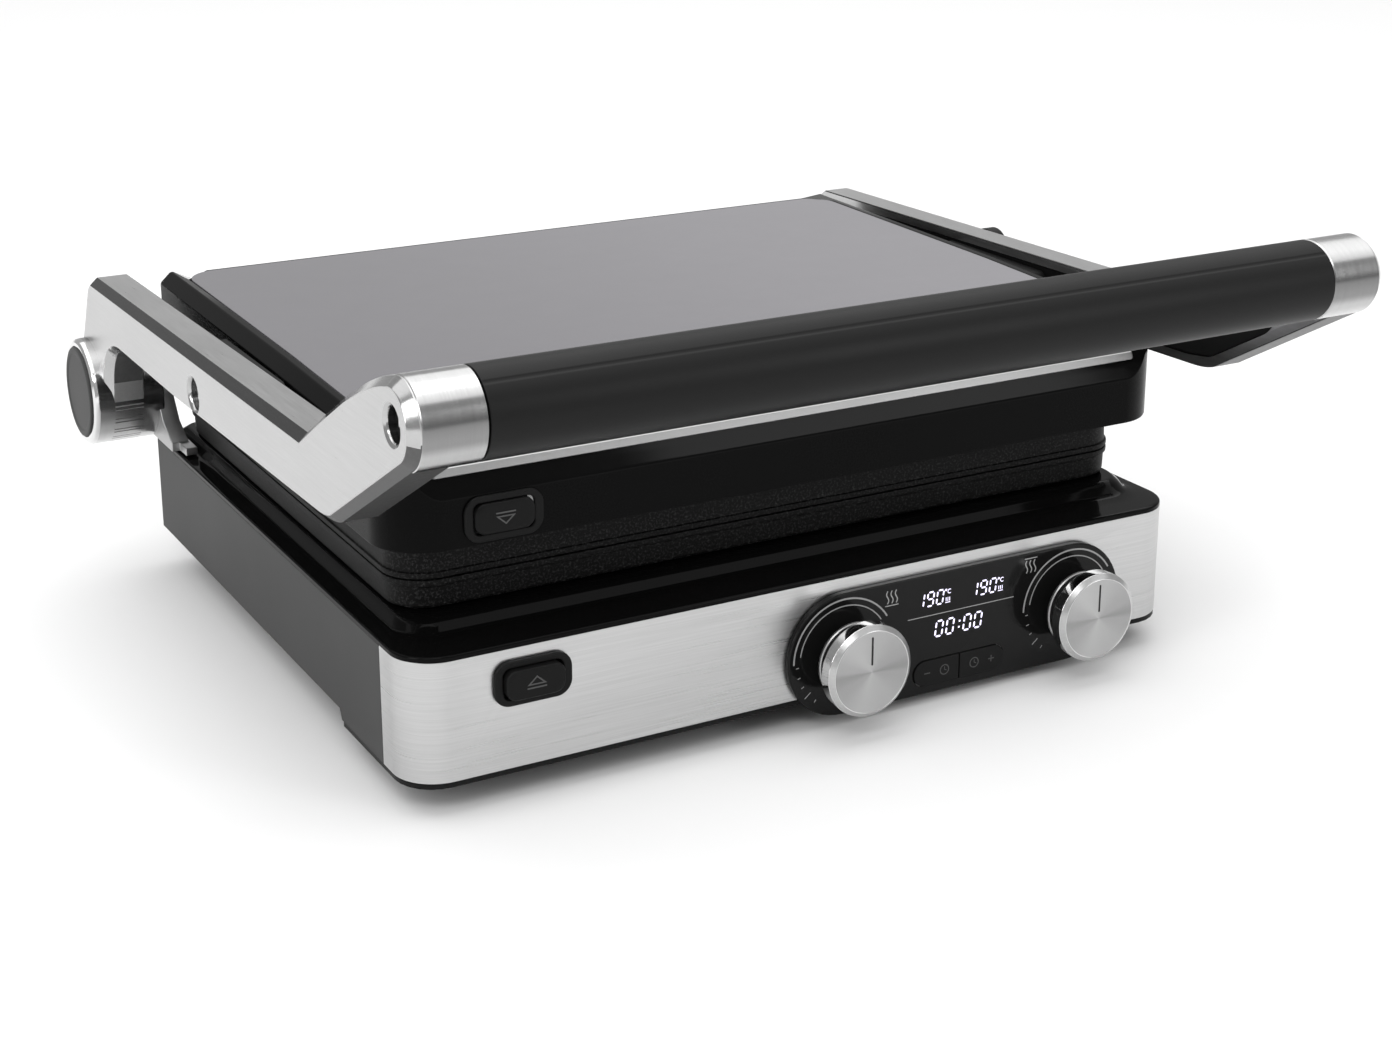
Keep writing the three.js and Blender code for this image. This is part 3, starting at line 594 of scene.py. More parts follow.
# ------------------------------------------------------------------ CAD nodes that stay
def dress(node, mat, bevel):
    """Gives a CAD node its material, rounded edges and clean normals. Its mesh stays as packed."""
    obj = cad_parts[node]
    obj.data.materials.clear()
    obj.data.materials.append(mat)
    obj.data.polygons.foreach_set("use_smooth", [True] * len(obj.data.polygons))
    weld = obj.modifiers.new("weld", "WELD")
    weld.merge_threshold = 0.002 * MM
    flat = obj.modifiers.new("flat_faces", "DECIMATE")
    flat.decimate_type = "DISSOLVE"
    flat.angle_limit = math.radians(0.5)
    bevelled(obj, bevel, 2, 38)
    even_normals(obj)


KEPT_NODES = [
    ("base_tub", satin_black, 0.3), ("side_panel_{}", charcoal, 0.4),
    ("foot_front_{}", rubber, 0.8),
    ("foot_rear_{}", rubber, 0.8), ("hinge_bracket_{}", plated_steel, 0.4),
    ("hinge_pin_{}", polished, 0.2), ("arm_liner_{}", satin_black, 0.3),
    ("pivot_block_{}", satin_black, 0.5), ("lid_pivot_pin_{}", polished, 0.2),
    ("handle_screw_{}", polished, 0.2), ("knob_shaft_{}", plated_steel, 0.1),
    ("encoder_{}", plated_steel, 0.2), ("cord_gland", rubber, 0.4),
    ("lower_reflector", plated_steel, 0.2), ("upper_reflector", plated_steel, 0.2),
    ("lower_heating_element", element_metal, 0.05), ("upper_heating_element", element_metal, 0.05),
    ("display_board", board_green, 0.1), ("control_board", board_green, 0.1),
    ("lower_release_latch", plated_steel, 0.2), ("upper_release_latch", plated_steel, 0.2),
    ("hinge_release_lever", satin_black, 0.6), ("handle_core", plated_steel, 0.2),
    ("drip_tray", satin_black, 0.4),
]
for node, look, edge_radius in KEPT_NODES:
    for name in sorted({node.format(side) for side in ("left", "right")}):
        dress(name, look, edge_radius)


# ------------------------------------------------------------------ base
def release_cutter(which, width, height, y0, y1):
    x, _, z = middle(f"{which}_release_button")
    outline = rounded(x - width / 2, x + width / 2, z - height / 2, z + height / 2, 5)
    return cutter(Solid().prism(outline, "y", y0, y1))


def front_sheet():
    """Brushed steel wrapped round both front corners, as a closed strip of 1.5 mm sheet."""
    low, high = PANEL_Z
    sheet = 1.5
    path = arc(-BASE_HALF + BASE_CORNER, BASE_FRONT + BASE_CORNER, 1.0, 180, 270, 14)
    right = arc(BASE_HALF - BASE_CORNER, BASE_FRONT + BASE_CORNER, 1.0, 270, 360, 14)

    def outline(r):
        left_x, right_x = -BASE_HALF + BASE_CORNER, BASE_HALF - BASE_CORNER
        y = BASE_FRONT + BASE_CORNER
        curve = [(left_x + r * (u - left_x), y + r * (v - y)) for u, v in path]
        curve += [(right_x + r * (u - right_x), y + r * (v - y)) for u, v in right]
        return [(left_x - r, PANEL_REAR)] + curve + [(right_x + r, PANEL_REAR)]

    section = [
        (0.35, low), (0.1, low + 0.1), (0.0, low + 0.35), (0.0, high - 0.35), (0.1, high - 0.1),
        (0.35, high),
    ]
    section += [(sheet, high), (sheet, low)]
    lines = [[(x, y, z) for x, y in outline(BASE_CORNER - depth)] for depth, z in section]
    rings = [[line[i] for line in lines] for i in range(len(lines[0]))]
    return mesh_object("front_panel_steel", Solid().loft(rings))


def base_pieces():
    steel = front_sheet()
    window = rounded(KNOB_X["left"] - 9, KNOB_X["right"] + 9, 18, 48, 1, 1, 2)
    cutters = [
        release_cutter("lower", 26, 13, BASE_FRONT - 3, BASE_FRONT + 6),
        cutter(Solid().prism(window, "y", BASE_FRONT - 3, BASE_FRONT + 6)),
    ]
    boolean(steel, cutters)
    piece(steel, "base", [brushed_steel], ["front_panel"], angle=30)

    def ring(half, y0, y1, corner, z):
        return [(x, y, z) for x, y in rounded(-half, half, y0, y1, corner, min(corner, 4.0), 14)]

    low, high = DECK_Z
    b, f, r = BASE_HALF, BASE_FRONT, BASE_REAR
    steps = [
        (0.4, 0.4, 0.0), (0.1, 0.1, 0.25), (0.0, 0.0, 0.6), (0.0, 0.0, 1.5), (0.15, 0.15, 2.0),
        (0.6, 0.6, 2.4),
        (1.4, 1.4, 2.55), (4.6, 9.0, 2.65), (6.0, 14.5, 3.1), (6.9, 17.0, 4.1), (8.0, 19.0, 6.1),
        (9.2, 20.4, 7.0),
        (10.4, 21.8, high - low),
    ]
    rings = [
        ring(b - side, f + front, r - side, BASE_CORNER - side / 2, low + z)
        for side, front, z in steps
    ]
    pan = span("lower_reflector")
    hole = (pan[0][1] + GAP, pan[1][0] - GAP, pan[1][1] + GAP)
    rings.append(ring(hole[0] + 0.4, hole[1] - 0.4, hole[2] + 0.4, 10.4, high))
    rings.append(ring(hole[0], hole[1], hole[2], 10, high - 0.4))
    rings.append(ring(hole[0], hole[1], hole[2], 10, low))
    deck = mesh_object("deck_cover", Solid().loft(rings, closed=True))
    piece(deck, "base", [gloss_black], ["deck"], angle=50)


def plate_rings(half, y0, y1, corner, z):
    return [(x, y, z) for x, y in rounded(-half, half, y0, y1, corner, corner, 12)]


def cooking_plate(which):
    """Cast plate with a raised rim at the split, a well, rounded ribs and a drain below."""
    up = 1 if which == "lower" else -1
    face = PLATE_FACE[which]
    back = PLATE_BOTTOM if which == "lower" else PLATE_TOP
    depth = abs(face - back)
    half, (y0, y1) = PLATE_HALF, PLATE_Y
    steps = [
        (8.0, depth - 2.6), (8.0, depth), (3.0, depth), (1.7, depth - 0.6), (1.1, depth - 1.8),
        (0.9, 3.2),
        (0.7, 2.5), (0.1, 2.1), (0.0, 1.5), (0.0, 0.6), (0.2, 0.2), (0.7, 0.0), (6.0, 0.0),
        (6.9, 0.4), (7.4, 1.4),
        (8.6, 4.6), (9.4, 5.2), (10.6, 5.4),
    ]
    rings = [
        plate_rings(half - s, y0 + s, y1 - s, max(3.0, 16 - s), face - up * d) for s, d in steps
    ]
    made = mesh_object(f"{which}_grill_plate", Solid().loft(rings))
    ribs = Solid()
    reach = (y0 + 16, y1 - 22)
    count = int((half - 15) // RIB_PITCH)
    for i in range(-count, count + 1):
        x = i * RIB_PITCH
        section = [
            (-2.9, WELL), (-2.0, 4.4), (-1.45, 1.6), (-1.1, 1.0), (-0.5, 0.8), (0.5, 0.8),
            (1.1, 1.0), (1.45, 1.6), (2.0, 4.4), (2.9, WELL),
        ]
        ends = [
            (reach[0], 0.75), (reach[0] + 1.5, 0.96), (reach[0] + 4, 1.0), (reach[1] - 4, 1.0),
            (reach[1] - 1.5, 0.96), (reach[1], 0.75),
        ]
        ribs.loft([
            [
                (x + u * k, y, face - up * (WELL - (WELL - d) * (k if k > 0.8 else 0.3)))
                for u, d in section
            ]
            for y, k in ends
        ])
    tools = []
    if which == "lower":
        at = (0, y1 - DRAIN_IN, 0)
        pipe = [(6.5, face - WELL), (6.5, 36.4), (6.1, 36.0)]
        drain = mesh_object("drain", Solid().turned(pipe, at, "z", 32))
        boolean(made, [drain], "UNION")
        tools = [cutter(Solid().turned([(4.5, 30), (4.5, face)], at, "z", 32))]
    boolean(made, tools)
    joined(made, mesh_object("ribs", ribs))
    body = "base" if which == "lower" else "lid"
    piece(made, body, [non_stick], [f"{which}_plate"], angle=35)


def eject_icon(x, y, z, flip):
    """Raised triangle outline over a bar, or the other way up."""
    s = -1 if flip else 1
    solid = Solid()
    outer = [(-3.6, -0.6), (3.6, -0.6), (0.0, 2.6)]
    inner = [(-2.4, -0.15), (2.4, -0.15), (0.0, 1.95)]
    for i in range(3):
        j = (i + 1) % 3
        quad = [outer[i], outer[j], inner[j], inner[i]]
        solid.prism([(x + u, z + s * v) for u, v in quad], "y", y, y + 0.3)
    bar = [(-3.6, -1.9), (3.6, -1.9), (3.6, -1.4), (-3.6, -1.4)]
    solid.prism([(x + u, z + s * v) for u, v in bar], "y", y, y + 0.3)
    return solid


def release_set(which, body, button_body):
    """Bezel with a rounded rim, a pillowed button and its raised icon."""
    (x0, x1), (y0, y1), (z0, z1) = span(f"{which}_release_bezel")
    thick = y1 - y0
    edge = min(0.7, thick / 2)
    steps = [
        (edge, 0.0), (edge * 0.3, edge * 0.3), (0.0, edge), (0.0, thick), (3.4, thick),
        (3.4, edge), (3.1, 0.15), (2.5, 0.0),
    ]
    rings = []
    for s, d in steps:
        outline = rounded(x0 + s, x1 - s, z0 + s * 0.72, z1 - s * 0.72, max(2.2, 5.9 - s), None, 10)
        rings.append([(x, y0 + d, z) for x, z in outline])
    bezel = mesh_object(f"{which}_release_rim", Solid().loft(rings, closed=True))
    piece(bezel, body, [satin_black], [f"{which}_release_bezel"], angle=45)
    (x0, x1), (y0, y1), (z0, z1) = span(f"{which}_release_button")
    steps = [(0.0, y1 - y0), (0.0, 1.0), (0.15, 0.5), (0.5, 0.2), (1.4, 0.05), (2.6, 0.0)]
    rings = []
    for s, d in steps:
        outline = rounded(x0 + s, x1 - s, z0 + s, z1 - s, max(1.4, 4.0 - s), None, 8)
        rings.append([(x, y0 + d, z) for x, z in outline])
    cap = mesh_object(f"{which}_release_cap", Solid().loft(rings))
    piece(cap, button_body, [satin_black], [f"{which}_release_button"], angle=45)
    x, _, z = middle(f"{which}_release_button")
    icon = mesh_object(f"{which}_release_icon", eject_icon(x, y0 - 0.12, z, which == "upper"))
    piece(icon, button_body, [icon_black])


base_pieces()
cooking_plate("lower")
cooking_plate("upper")
release_set("lower", "base", "lower_release")
release_set("upper", "lid", "upper_release")


# ------------------------------------------------------------------ control fascia
def stadium(radius, steps=24):
    left = arc(KNOB_X["left"], FASCIA_Z, radius, 90, 270, steps)
    right = arc(KNOB_X["right"], FASCIA_Z, radius, -90, 90, steps)
    return left + right


def ribbon(points, width, y0, y1, solid):
    """A flat band of one width along points in X and Z."""
    left, right = [], []
    for i, (u, v) in enumerate(points):
        a = Vector(points[max(0, i - 1)])
        b = Vector(points[min(len(points) - 1, i + 1)])
        n = (b - a).normalized() * width / 2
        left.append((u - n.y, v + n.x))
        right.append((u + n.y, v - n.x))
    for i in range(len(points) - 1):
        solid.prism([left[i], right[i], right[i + 1], left[i + 1]], "y", y0, y1)


SEGMENTS = {"0": "abcdef", "1": "bc", "9": "abcdfg"}


def digit(solid, char, x, z, height, y0, y1):
    """Seven-segment figure, leaning a little, its lower left corner at (x, z)."""
    w, h, t = height * 0.5, height, height * 0.115
    lean = 0.12
    ends = {
        "a": ((0, h), (w, h)), "b": ((w, h), (w, h / 2)), "c": ((w, h / 2), (w, 0)),
        "d": ((0, 0), (w, 0)),
        "e": ((0, 0), (0, h / 2)), "f": ((0, h / 2), (0, h)), "g": ((0, h / 2), (w, h / 2)),
    }
    for name in SEGMENTS[char]:
        a, b = Vector(ends[name][0]), Vector(ends[name][1])
        way = (b - a).normalized()
        side = Vector((-way.y, way.x)) * t / 2
        a, b = a + way * t * 0.5, b - way * t * 0.5
        tip = way * t / 2
        loop = [a, a + tip - side, b - tip - side, b, b - tip + side, a + tip + side]
        solid.prism([(x + p.x + lean * p.y, z + p.y) for p in loop], "y", y0, y1)


def fascia_pieces():
    back = FASCIA_BACK
    steps = [
        (0.0, back), (0.0, FASCIA_FRONT + 0.55), (0.12, FASCIA_FRONT + 0.22),
        (0.4, FASCIA_FRONT + 0.04), (0.8, FASCIA_FRONT),
    ]
    rings = [[(x, y, z) for x, z in stadium(FASCIA_RADIUS - s)] for s, y in steps]
    glass = mesh_object("fascia_glass", Solid().loft(rings))
    keys = span("timer_minus_button")
    right = span("timer_plus_button")
    grow = 0.3
    sides = (keys[0][0] - grow, right[0][1] + grow, keys[2][0] - grow, keys[2][1] + grow)
    slot = rounded(*sides, 5.2, None, 12)
    cutters = [cutter(Solid().prism(slot, "y", FASCIA_FRONT - 3, back + 3))]
    for x in KNOB_X.values():
        hole = [(6.5, FASCIA_FRONT - 3), (6.5, back + 3)]
        cutters.append(cutter(Solid().turned(hole, (x, 0, FASCIA_Z), "y", 40)))
    boolean(glass, cutters)
    piece(
        glass, "base", [fascia_glass], ["control_fascia", "display_window"],
        angle=40,
    )

    y0, y1 = FASCIA_FRONT - 0.06, FASCIA_FRONT + 0.2
    marks = Solid()
    for side, x in KNOB_X.items():
        ribbon(arc(x, FASCIA_Z, 21.5, 32, 180, 48), 0.62, y0, y1, marks)
        ribbon(arc(x, FASCIA_Z, 18.9, 34, 172, 44), 0.42, y0, y1, marks)
        for angle in (184, 196, 208, 220, 232):
            c, s = math.cos(math.radians(angle)), math.sin(math.radians(angle))
            inner, outer = (18.6, 21.8) if angle == 220 else (19.4, 20.6)
            line = [(x + inner * c, FASCIA_Z + inner * s), (x + outer * c, FASCIA_Z + outer * s)]
            ribbon(line, 0.3, y0, y1, marks)
    display_top = span("display_window")[2][1]
    for x, bar in ((KNOB_X["left"] + 20.2, -1), (KNOB_X["right"] - 19.0, 1)):
        z = display_top - 0.9
        for shift in (-1.9, 0.0, 1.9):
            wave = [
                (x + shift + 0.5 * math.sin(t * TAU / 12), z - 2.5 + t * 5 / 12) for t in range(13)
            ]
            ribbon(wave, 0.42, y0, y1, marks)
        ribbon([(x - 2.9, z + bar * 3.3), (x + 2.9, z + bar * 3.3)], 0.36, y0, y1, marks)
    line_z = FASCIA_Z + 7.6
    ribbon([(DISPLAY_X - 23.5, line_z), (DISPLAY_X + 24.5, line_z)], 0.28, y0, y1, marks)
    piece(mesh_object("fascia_print", marks), "base", [print_grey])

    figures = Solid()
    z, height = FASCIA_Z + 11.4, 5.4
    for start in (DISPLAY_X - 19.6, DISPLAY_X + 4.4):
        for i, char in enumerate("190"):
            digit(figures, char, start + i * 4.3, z, height, y0, y1)
        degree = start + 12.9
        ribbon(arc(degree, z + 5.0, 0.35, 0, 360, 10), 0.24, y0, y1, figures)
        ribbon(arc(degree + 1.6, z + 4.3, 0.8, 50, 310, 10), 0.3, y0, y1, figures)
        for shift in (0.1, 0.9, 1.7):
            ribbon([(degree + shift, z + 0.5), (degree + shift, z + 2.0)], 0.28, y0, y1, figures)
        ribbon([(degree - 0.2, z), (degree + 2.0, z)], 0.28, y0, y1, figures)
    z, height = FASCIA_Z - 1.4, 6.0
    for offset in (-11.2, -6.3, 1.5, 6.4):
        digit(figures, "0", DISPLAY_X + offset, z, height, y0, y1)
    for up in (1.8, 4.2):
        x = DISPLAY_X - 0.6 + 0.12 * up
        ribbon([(x, z + up - 0.35), (x, z + up + 0.35)], 0.7, y0, y1, figures)
    piece(mesh_object("display_figures", figures), "base", [led_white])


def timer_key(side):
    """One end of the stadium key with a rounded edge and its moulded symbols."""
    name = {"left": "minus", "right": "plus"}[side]
    (x0, x1), (y0, y1), (z0, z1) = span(f"timer_{name}_button")
    r = (z1 - z0) / 2
    turn = 1 if side == "left" else -1
    end_x = x0 if side == "left" else x1
    steps = [(0.0, y1), (0.0, y0 + 0.35), (0.1, y0 + 0.1), (0.35, y0)]
    rings = []
    for s, y in steps:
        loop = [(u, v) for u, v in arc(0, 0, r - s, 90, 270, 16)]
        loop = [(end_x + turn * (r + u), (z0 + z1) / 2 + v) for u, v in loop]
        square = x1 - s if side == "left" else x0 + s
        loop += [(square, z0 + s), (square, z1 - s)]
        rings.append([(x, y, z) for x, z in loop])
    key = mesh_object(f"timer_{name}_key", Solid().loft(rings))
    piece(key, f"timer_{name}", [satin_black], [f"timer_{name}_button"], angle=40)
    icon = Solid()
    x, z = (x0 + x1) / 2, (z0 + z1) / 2
    face = (y0 - 0.05, y0 + 0.1)
    sign_x, clock_x = x - turn * 4.2, x + turn * 3.6
    ribbon([(sign_x - 1.3, z), (sign_x + 1.3, z)], 0.4, *face, icon)
    if side == "right":
        ribbon([(sign_x, z - 1.3), (sign_x, z + 1.3)], 0.4, *face, icon)
    ribbon(arc(clock_x, z, 1.9, 0, 360, 24), 0.35, *face, icon)
    ribbon([(clock_x, z + 1.2), (clock_x, z), (clock_x + 0.9, z - 0.4)], 0.3, *face, icon)
    piece(mesh_object(f"timer_{name}_symbols", icon), f"timer_{name}", [icon_black])


def knob(side):
    """Turned knob: spun face, bevelled ring, chrome side, dark neck and a satin flange behind."""
    x = KNOB_X[side]
    face, back, r = KNOB_FRONT, KNOB_BACK, KNOB_RADIUS
    profile = [
        (3.3, back), (14.3, back), (14.7, back - 0.3), (14.8, back - 1.2), (14.4, back - 1.6),
        (11.4, back - 1.7),
        (11.4, face + 7.4), (13.4, face + 6.8), (r - 0.6, face + 6.6), (r - 0.15, face + 6.3),
        (r, face + 5.9),
        (r, face + 1.75), (r - 0.12, face + 1.45), (r - 1.6, face + 0.12), (r - 1.9, face),
        (r - 2.1, face + 0.05),
        (r - 2.3, face + 0.12), (0.02, face + 0.12), (0.02, face + 4.0), (3.3, face + 4.0),
    ]
    mats = [3, 2, 2, 2, 2, 3, 3, 3, 1, 1, 1, 1, 5, 5, 4, 0, 0, 3, 3, 3]
    solid = Solid().turned(profile, (x, 0, FASCIA_Z), "y", 128, mats, closed=True)
    made = mesh_object(f"knob_{side}_dial", solid)
    slot = rounded(x - 0.42, x + 0.42, FASCIA_Z + 2.6, FASCIA_Z + KNOB_RADIUS - 4.0, 0.4, None, 4)
    boolean(made, [cutter(Solid().prism(slot, "y", face - 1, face + 0.55))])
    mats = [knob_face[side], knob_chrome, plated_steel, satin_black, polished, arm_metal]
    piece(made, f"knob_{side}", mats, [f"knob_{side}"], angle=32)
    filler = Solid().prism(inset_loop(slot, 0.02), "y", face + 0.42, face + 0.56)
    piece(mesh_object(f"knob_{side}_pointer", filler), f"knob_{side}", [pointer_dark])


fascia_pieces()
for side in ("left", "right"):
    timer_key(side)
    knob(side)


# ------------------------------------------------------------------ lid
LID_TOP = [
    (0, 18.4), (3.5, 27.8), (15, 33.1), (28, 37.1), (44, 39.4), (110, 41.3), (250, 43.1),
    (262, 33.6),
]


def lid_top(y):
    """Height of the lid's upper surface at a place from front to back."""
    y = min(max(y - LID_Y[0], 0.0), LID_TOP[-1][0])
    for (ya, za), (yb, zb) in zip(LID_TOP, LID_TOP[1:]):
        if y <= yb:
            return LID_BOTTOM + za + (zb - za) * (y - ya) / (yb - ya)


def smooth_step(t):
    t = min(max(t, 0.0), 1.0)
    return t * t * (3 - 2 * t)


def on_the_side(y):
    """1 along the lid's straight sides, fading to 0 round its front and rear corners."""
    return smooth_step((y - LID_Y[0]) / 22) * smooth_step((LID_Y[1] - 3 - y) / 9)


def lid_outline(half, front, rear, radius, cut):
    """Plan of the lid: rounded front corners, straight sides with stops, rear corners cut off."""
    stops = [LID_Y[0] + k for k in (28, 44, 76, 110, 180)]
    right = arc(half - radius, front + radius, radius, -90, 0, 16) + [(half, y) for y in stops]
    right += [(half, rear - cut), (half - cut, rear)]
    return right + [(-x, y) for x, y in reversed(right)]


def lid_pieces():
    h, (f, r) = LID_HALF, LID_Y
    wall = 3.0
    ceiling = span("upper_reflector")[2][1] + GAP
    below = [
        (wall, ceiling), (wall, LID_BOTTOM + 0.5), (wall - 0.4, LID_BOTTOM), (0.9, LID_BOTTOM),
        (0.25, LID_BOTTOM + 0.25), (0.0, LID_BOTTOM + 0.9),
    ]
    rings = [
        [(x, y, z) for x, y in lid_outline(h - s, f + s, r - s, 20 - s, 14 - 0.4 * s)]
        for s, z in below
    ]
    p_half, (p_front, p_rear) = LID_PANEL[0][1] - 0.6, LID_PANEL[1]
    p_rear -= 7.0
    side_in, front_in, rear_in = h - p_half, p_front - f, r - p_rear
    above = [
        (0.0, 0.0, 0.0, 20.0, 14.0, 1.0, 4.0),
        (0.1, 0.1, 0.1, 19.9, 14.0, 0.55, 3.85),
        (0.5, 0.3, 0.4, 19.6, 13.8, 0.2, 3.5),
        (4.0, 1.4, 1.6, 17.2, 12.6, 0.0, 0.45),
        (4.7, 1.9, 2.2, 16.6, 12.4, 0.0, 0.1),
        (5.3, 2.3, 3.0, 16.0, 12.0, 0.0, 0.0),
        (side_in - 0.9, front_in - 0.9, rear_in - 0.9, 14.0, 11.0, 0.0, 0.0),
        (side_in - 0.5, front_in - 0.5, rear_in - 0.5, 13.4, 10.6, 0.2, 0.0),
        (side_in - 0.4, front_in - 0.4, rear_in - 0.4, 13.2, 10.4, 1.8, 0.0),
    ]
    for side, front, rear, radius, cut, drop, side_drop in above:
        outline = lid_outline(h - side, f + front, r - rear, radius, cut)
        rings.append([(x, y, lid_top(y) - drop - side_drop * on_the_side(y)) for x, y in outline])
    mats = [1] * len(below) + [0] * len(above)
    shell = mesh_object("lid_cover", Solid().loft(rings, mats))
    cutters = [release_cutter("upper", 25, 12.5, f - 3, f + 6)]
    for s in (-1, 1):
        hole = Solid().turned(
            [(4.4, s * (h - 12)), (4.4, s * (h + 4))], PIVOT_SPOT, "x", 32,
        )
        cutters.append(cutter(hole))
    boolean(shell, cutters)
    piece(shell, "lid", [gloss_black, lid_satin], ["lid_shell"], angle=28)

    sheet = span("lid_top_panel")[2]
    rows = []
    corner = 12.6
    stops = [p_front + corner * (1 - math.cos(math.pi / 2 * i / 12)) for i in range(13)]
    stops += [LID_Y[0] + k for k, _ in LID_TOP[3:6]] + [LID_Y[0] + 76, LID_Y[0] + 180]
    stops += [p_rear - corner * (1 - math.cos(math.pi / 2 * i / 12)) for i in range(13)]
    for y in sorted(stops):
        reach = min(y - p_front, p_rear - y)
        into = max(corner - reach, 0.0)
        dip = corner - math.sqrt(corner**2 - into**2)
        w = p_half - dip
        top = lid_top(y)
        rows.append([
            (-w, y, top - 1.4), (-w, y, top - 0.35), (-w + 0.1, y, top - 0.1), (-w + 0.35, y, top),
            (w - 0.35, y, top), (w - 0.1, y, top - 0.1), (w, y, top - 0.35), (w, y, top - 1.4),
        ])
    glass = mesh_object("lid_glass_panel", Solid().loft(rows))
    piece(glass, "lid", [glass_panel], ["lid_top_panel"], angle=30)

    (x0, x1), (y0, y1), (z0, z1) = TRIM
    section = [
        (y1, z0), (y0 + 0.3, z0), (y0, z0 + 0.3), (y0 + 0.9, z1 - 0.4), (y0 + 1.3, z1 - 0.1),
        (y1, z1),
    ]
    ends = [
        (x0, 0.4), (x0 + 0.3, 0.8), (x0 + 1.2, 1.0), (x1 - 1.2, 1.0), (x1 - 0.3, 0.8), (x1, 0.4),
    ]
    zc = (z0 + z1) / 2
    rings = [[(x, y1 + (y - y1) * k, zc + (z - zc) * k) for y, z in section] for x, k in ends]
    trim = mesh_object("lid_trim_strip", Solid().loft(rings))
    piece(trim, "lid", [plated_steel], ["lid_trim"], angle=30)


lid_pieces()


# ------------------------------------------------------------------ arms and handle
def arm_outline():
    """Side view of an arm in Y and Z: flared hub end, straight back and the riser to the handle."""
    hub_y = HINGE_Y - HUB_RADIUS
    points = [(118, 107.7)]
    points += quadratic((118, 107.7), (hub_y, 107.7), (hub_y, HINGE_Z), 12)
    points += arc(HINGE_Y, HINGE_Z, HUB_RADIUS, 180, 380, 40)[1:]
    points += [
        (176, 106), (164, 127.6), (159, 130.7), (-93.5, 135.2), (-112.7, 146.8), (-135.3, 159.8),
    ]
    crown = (HANDLE_Y + (GRIP_RADIUS - 0.3) * 0.34, HANDLE_Z + (GRIP_RADIUS - 0.3) * 0.94)
    points += quadratic((-135.3, 159.8), (-158, 171.7), crown, 12)
    points += arc(HANDLE_Y, HANDLE_Z, GRIP_RADIUS - 0.3, 70.2, 240.3, 34)[1:]
    points += [(-122, 113.7)]
    points += quadratic((-122, 113.7), (-117, 111.5), (-108, 111.4), 8)
    points += [(45, 107.9)]
    return points


ARM_LOOKS = [
    arm_metal, chamfer_metal, hub_metal, socket_metal, satin_black, chamfer_painted_dark, cast_shadow,
    polished,
]
FLAT, CHAMFER, HUB, SOCKET, HOLLOW_SHADE, TOP_EDGE, UNDERSIDE, RIM = range(len(ARM_LOOKS))
ARM_POCKET = [
    (112, 111.3), (45, 111.5), (-106, 114.9), (-119, 116.6), (-150, 134.2),
    (-157, 146), (-138, 154.4), (-94, 131.5), (146, 127.3), (140, 111.8),
]


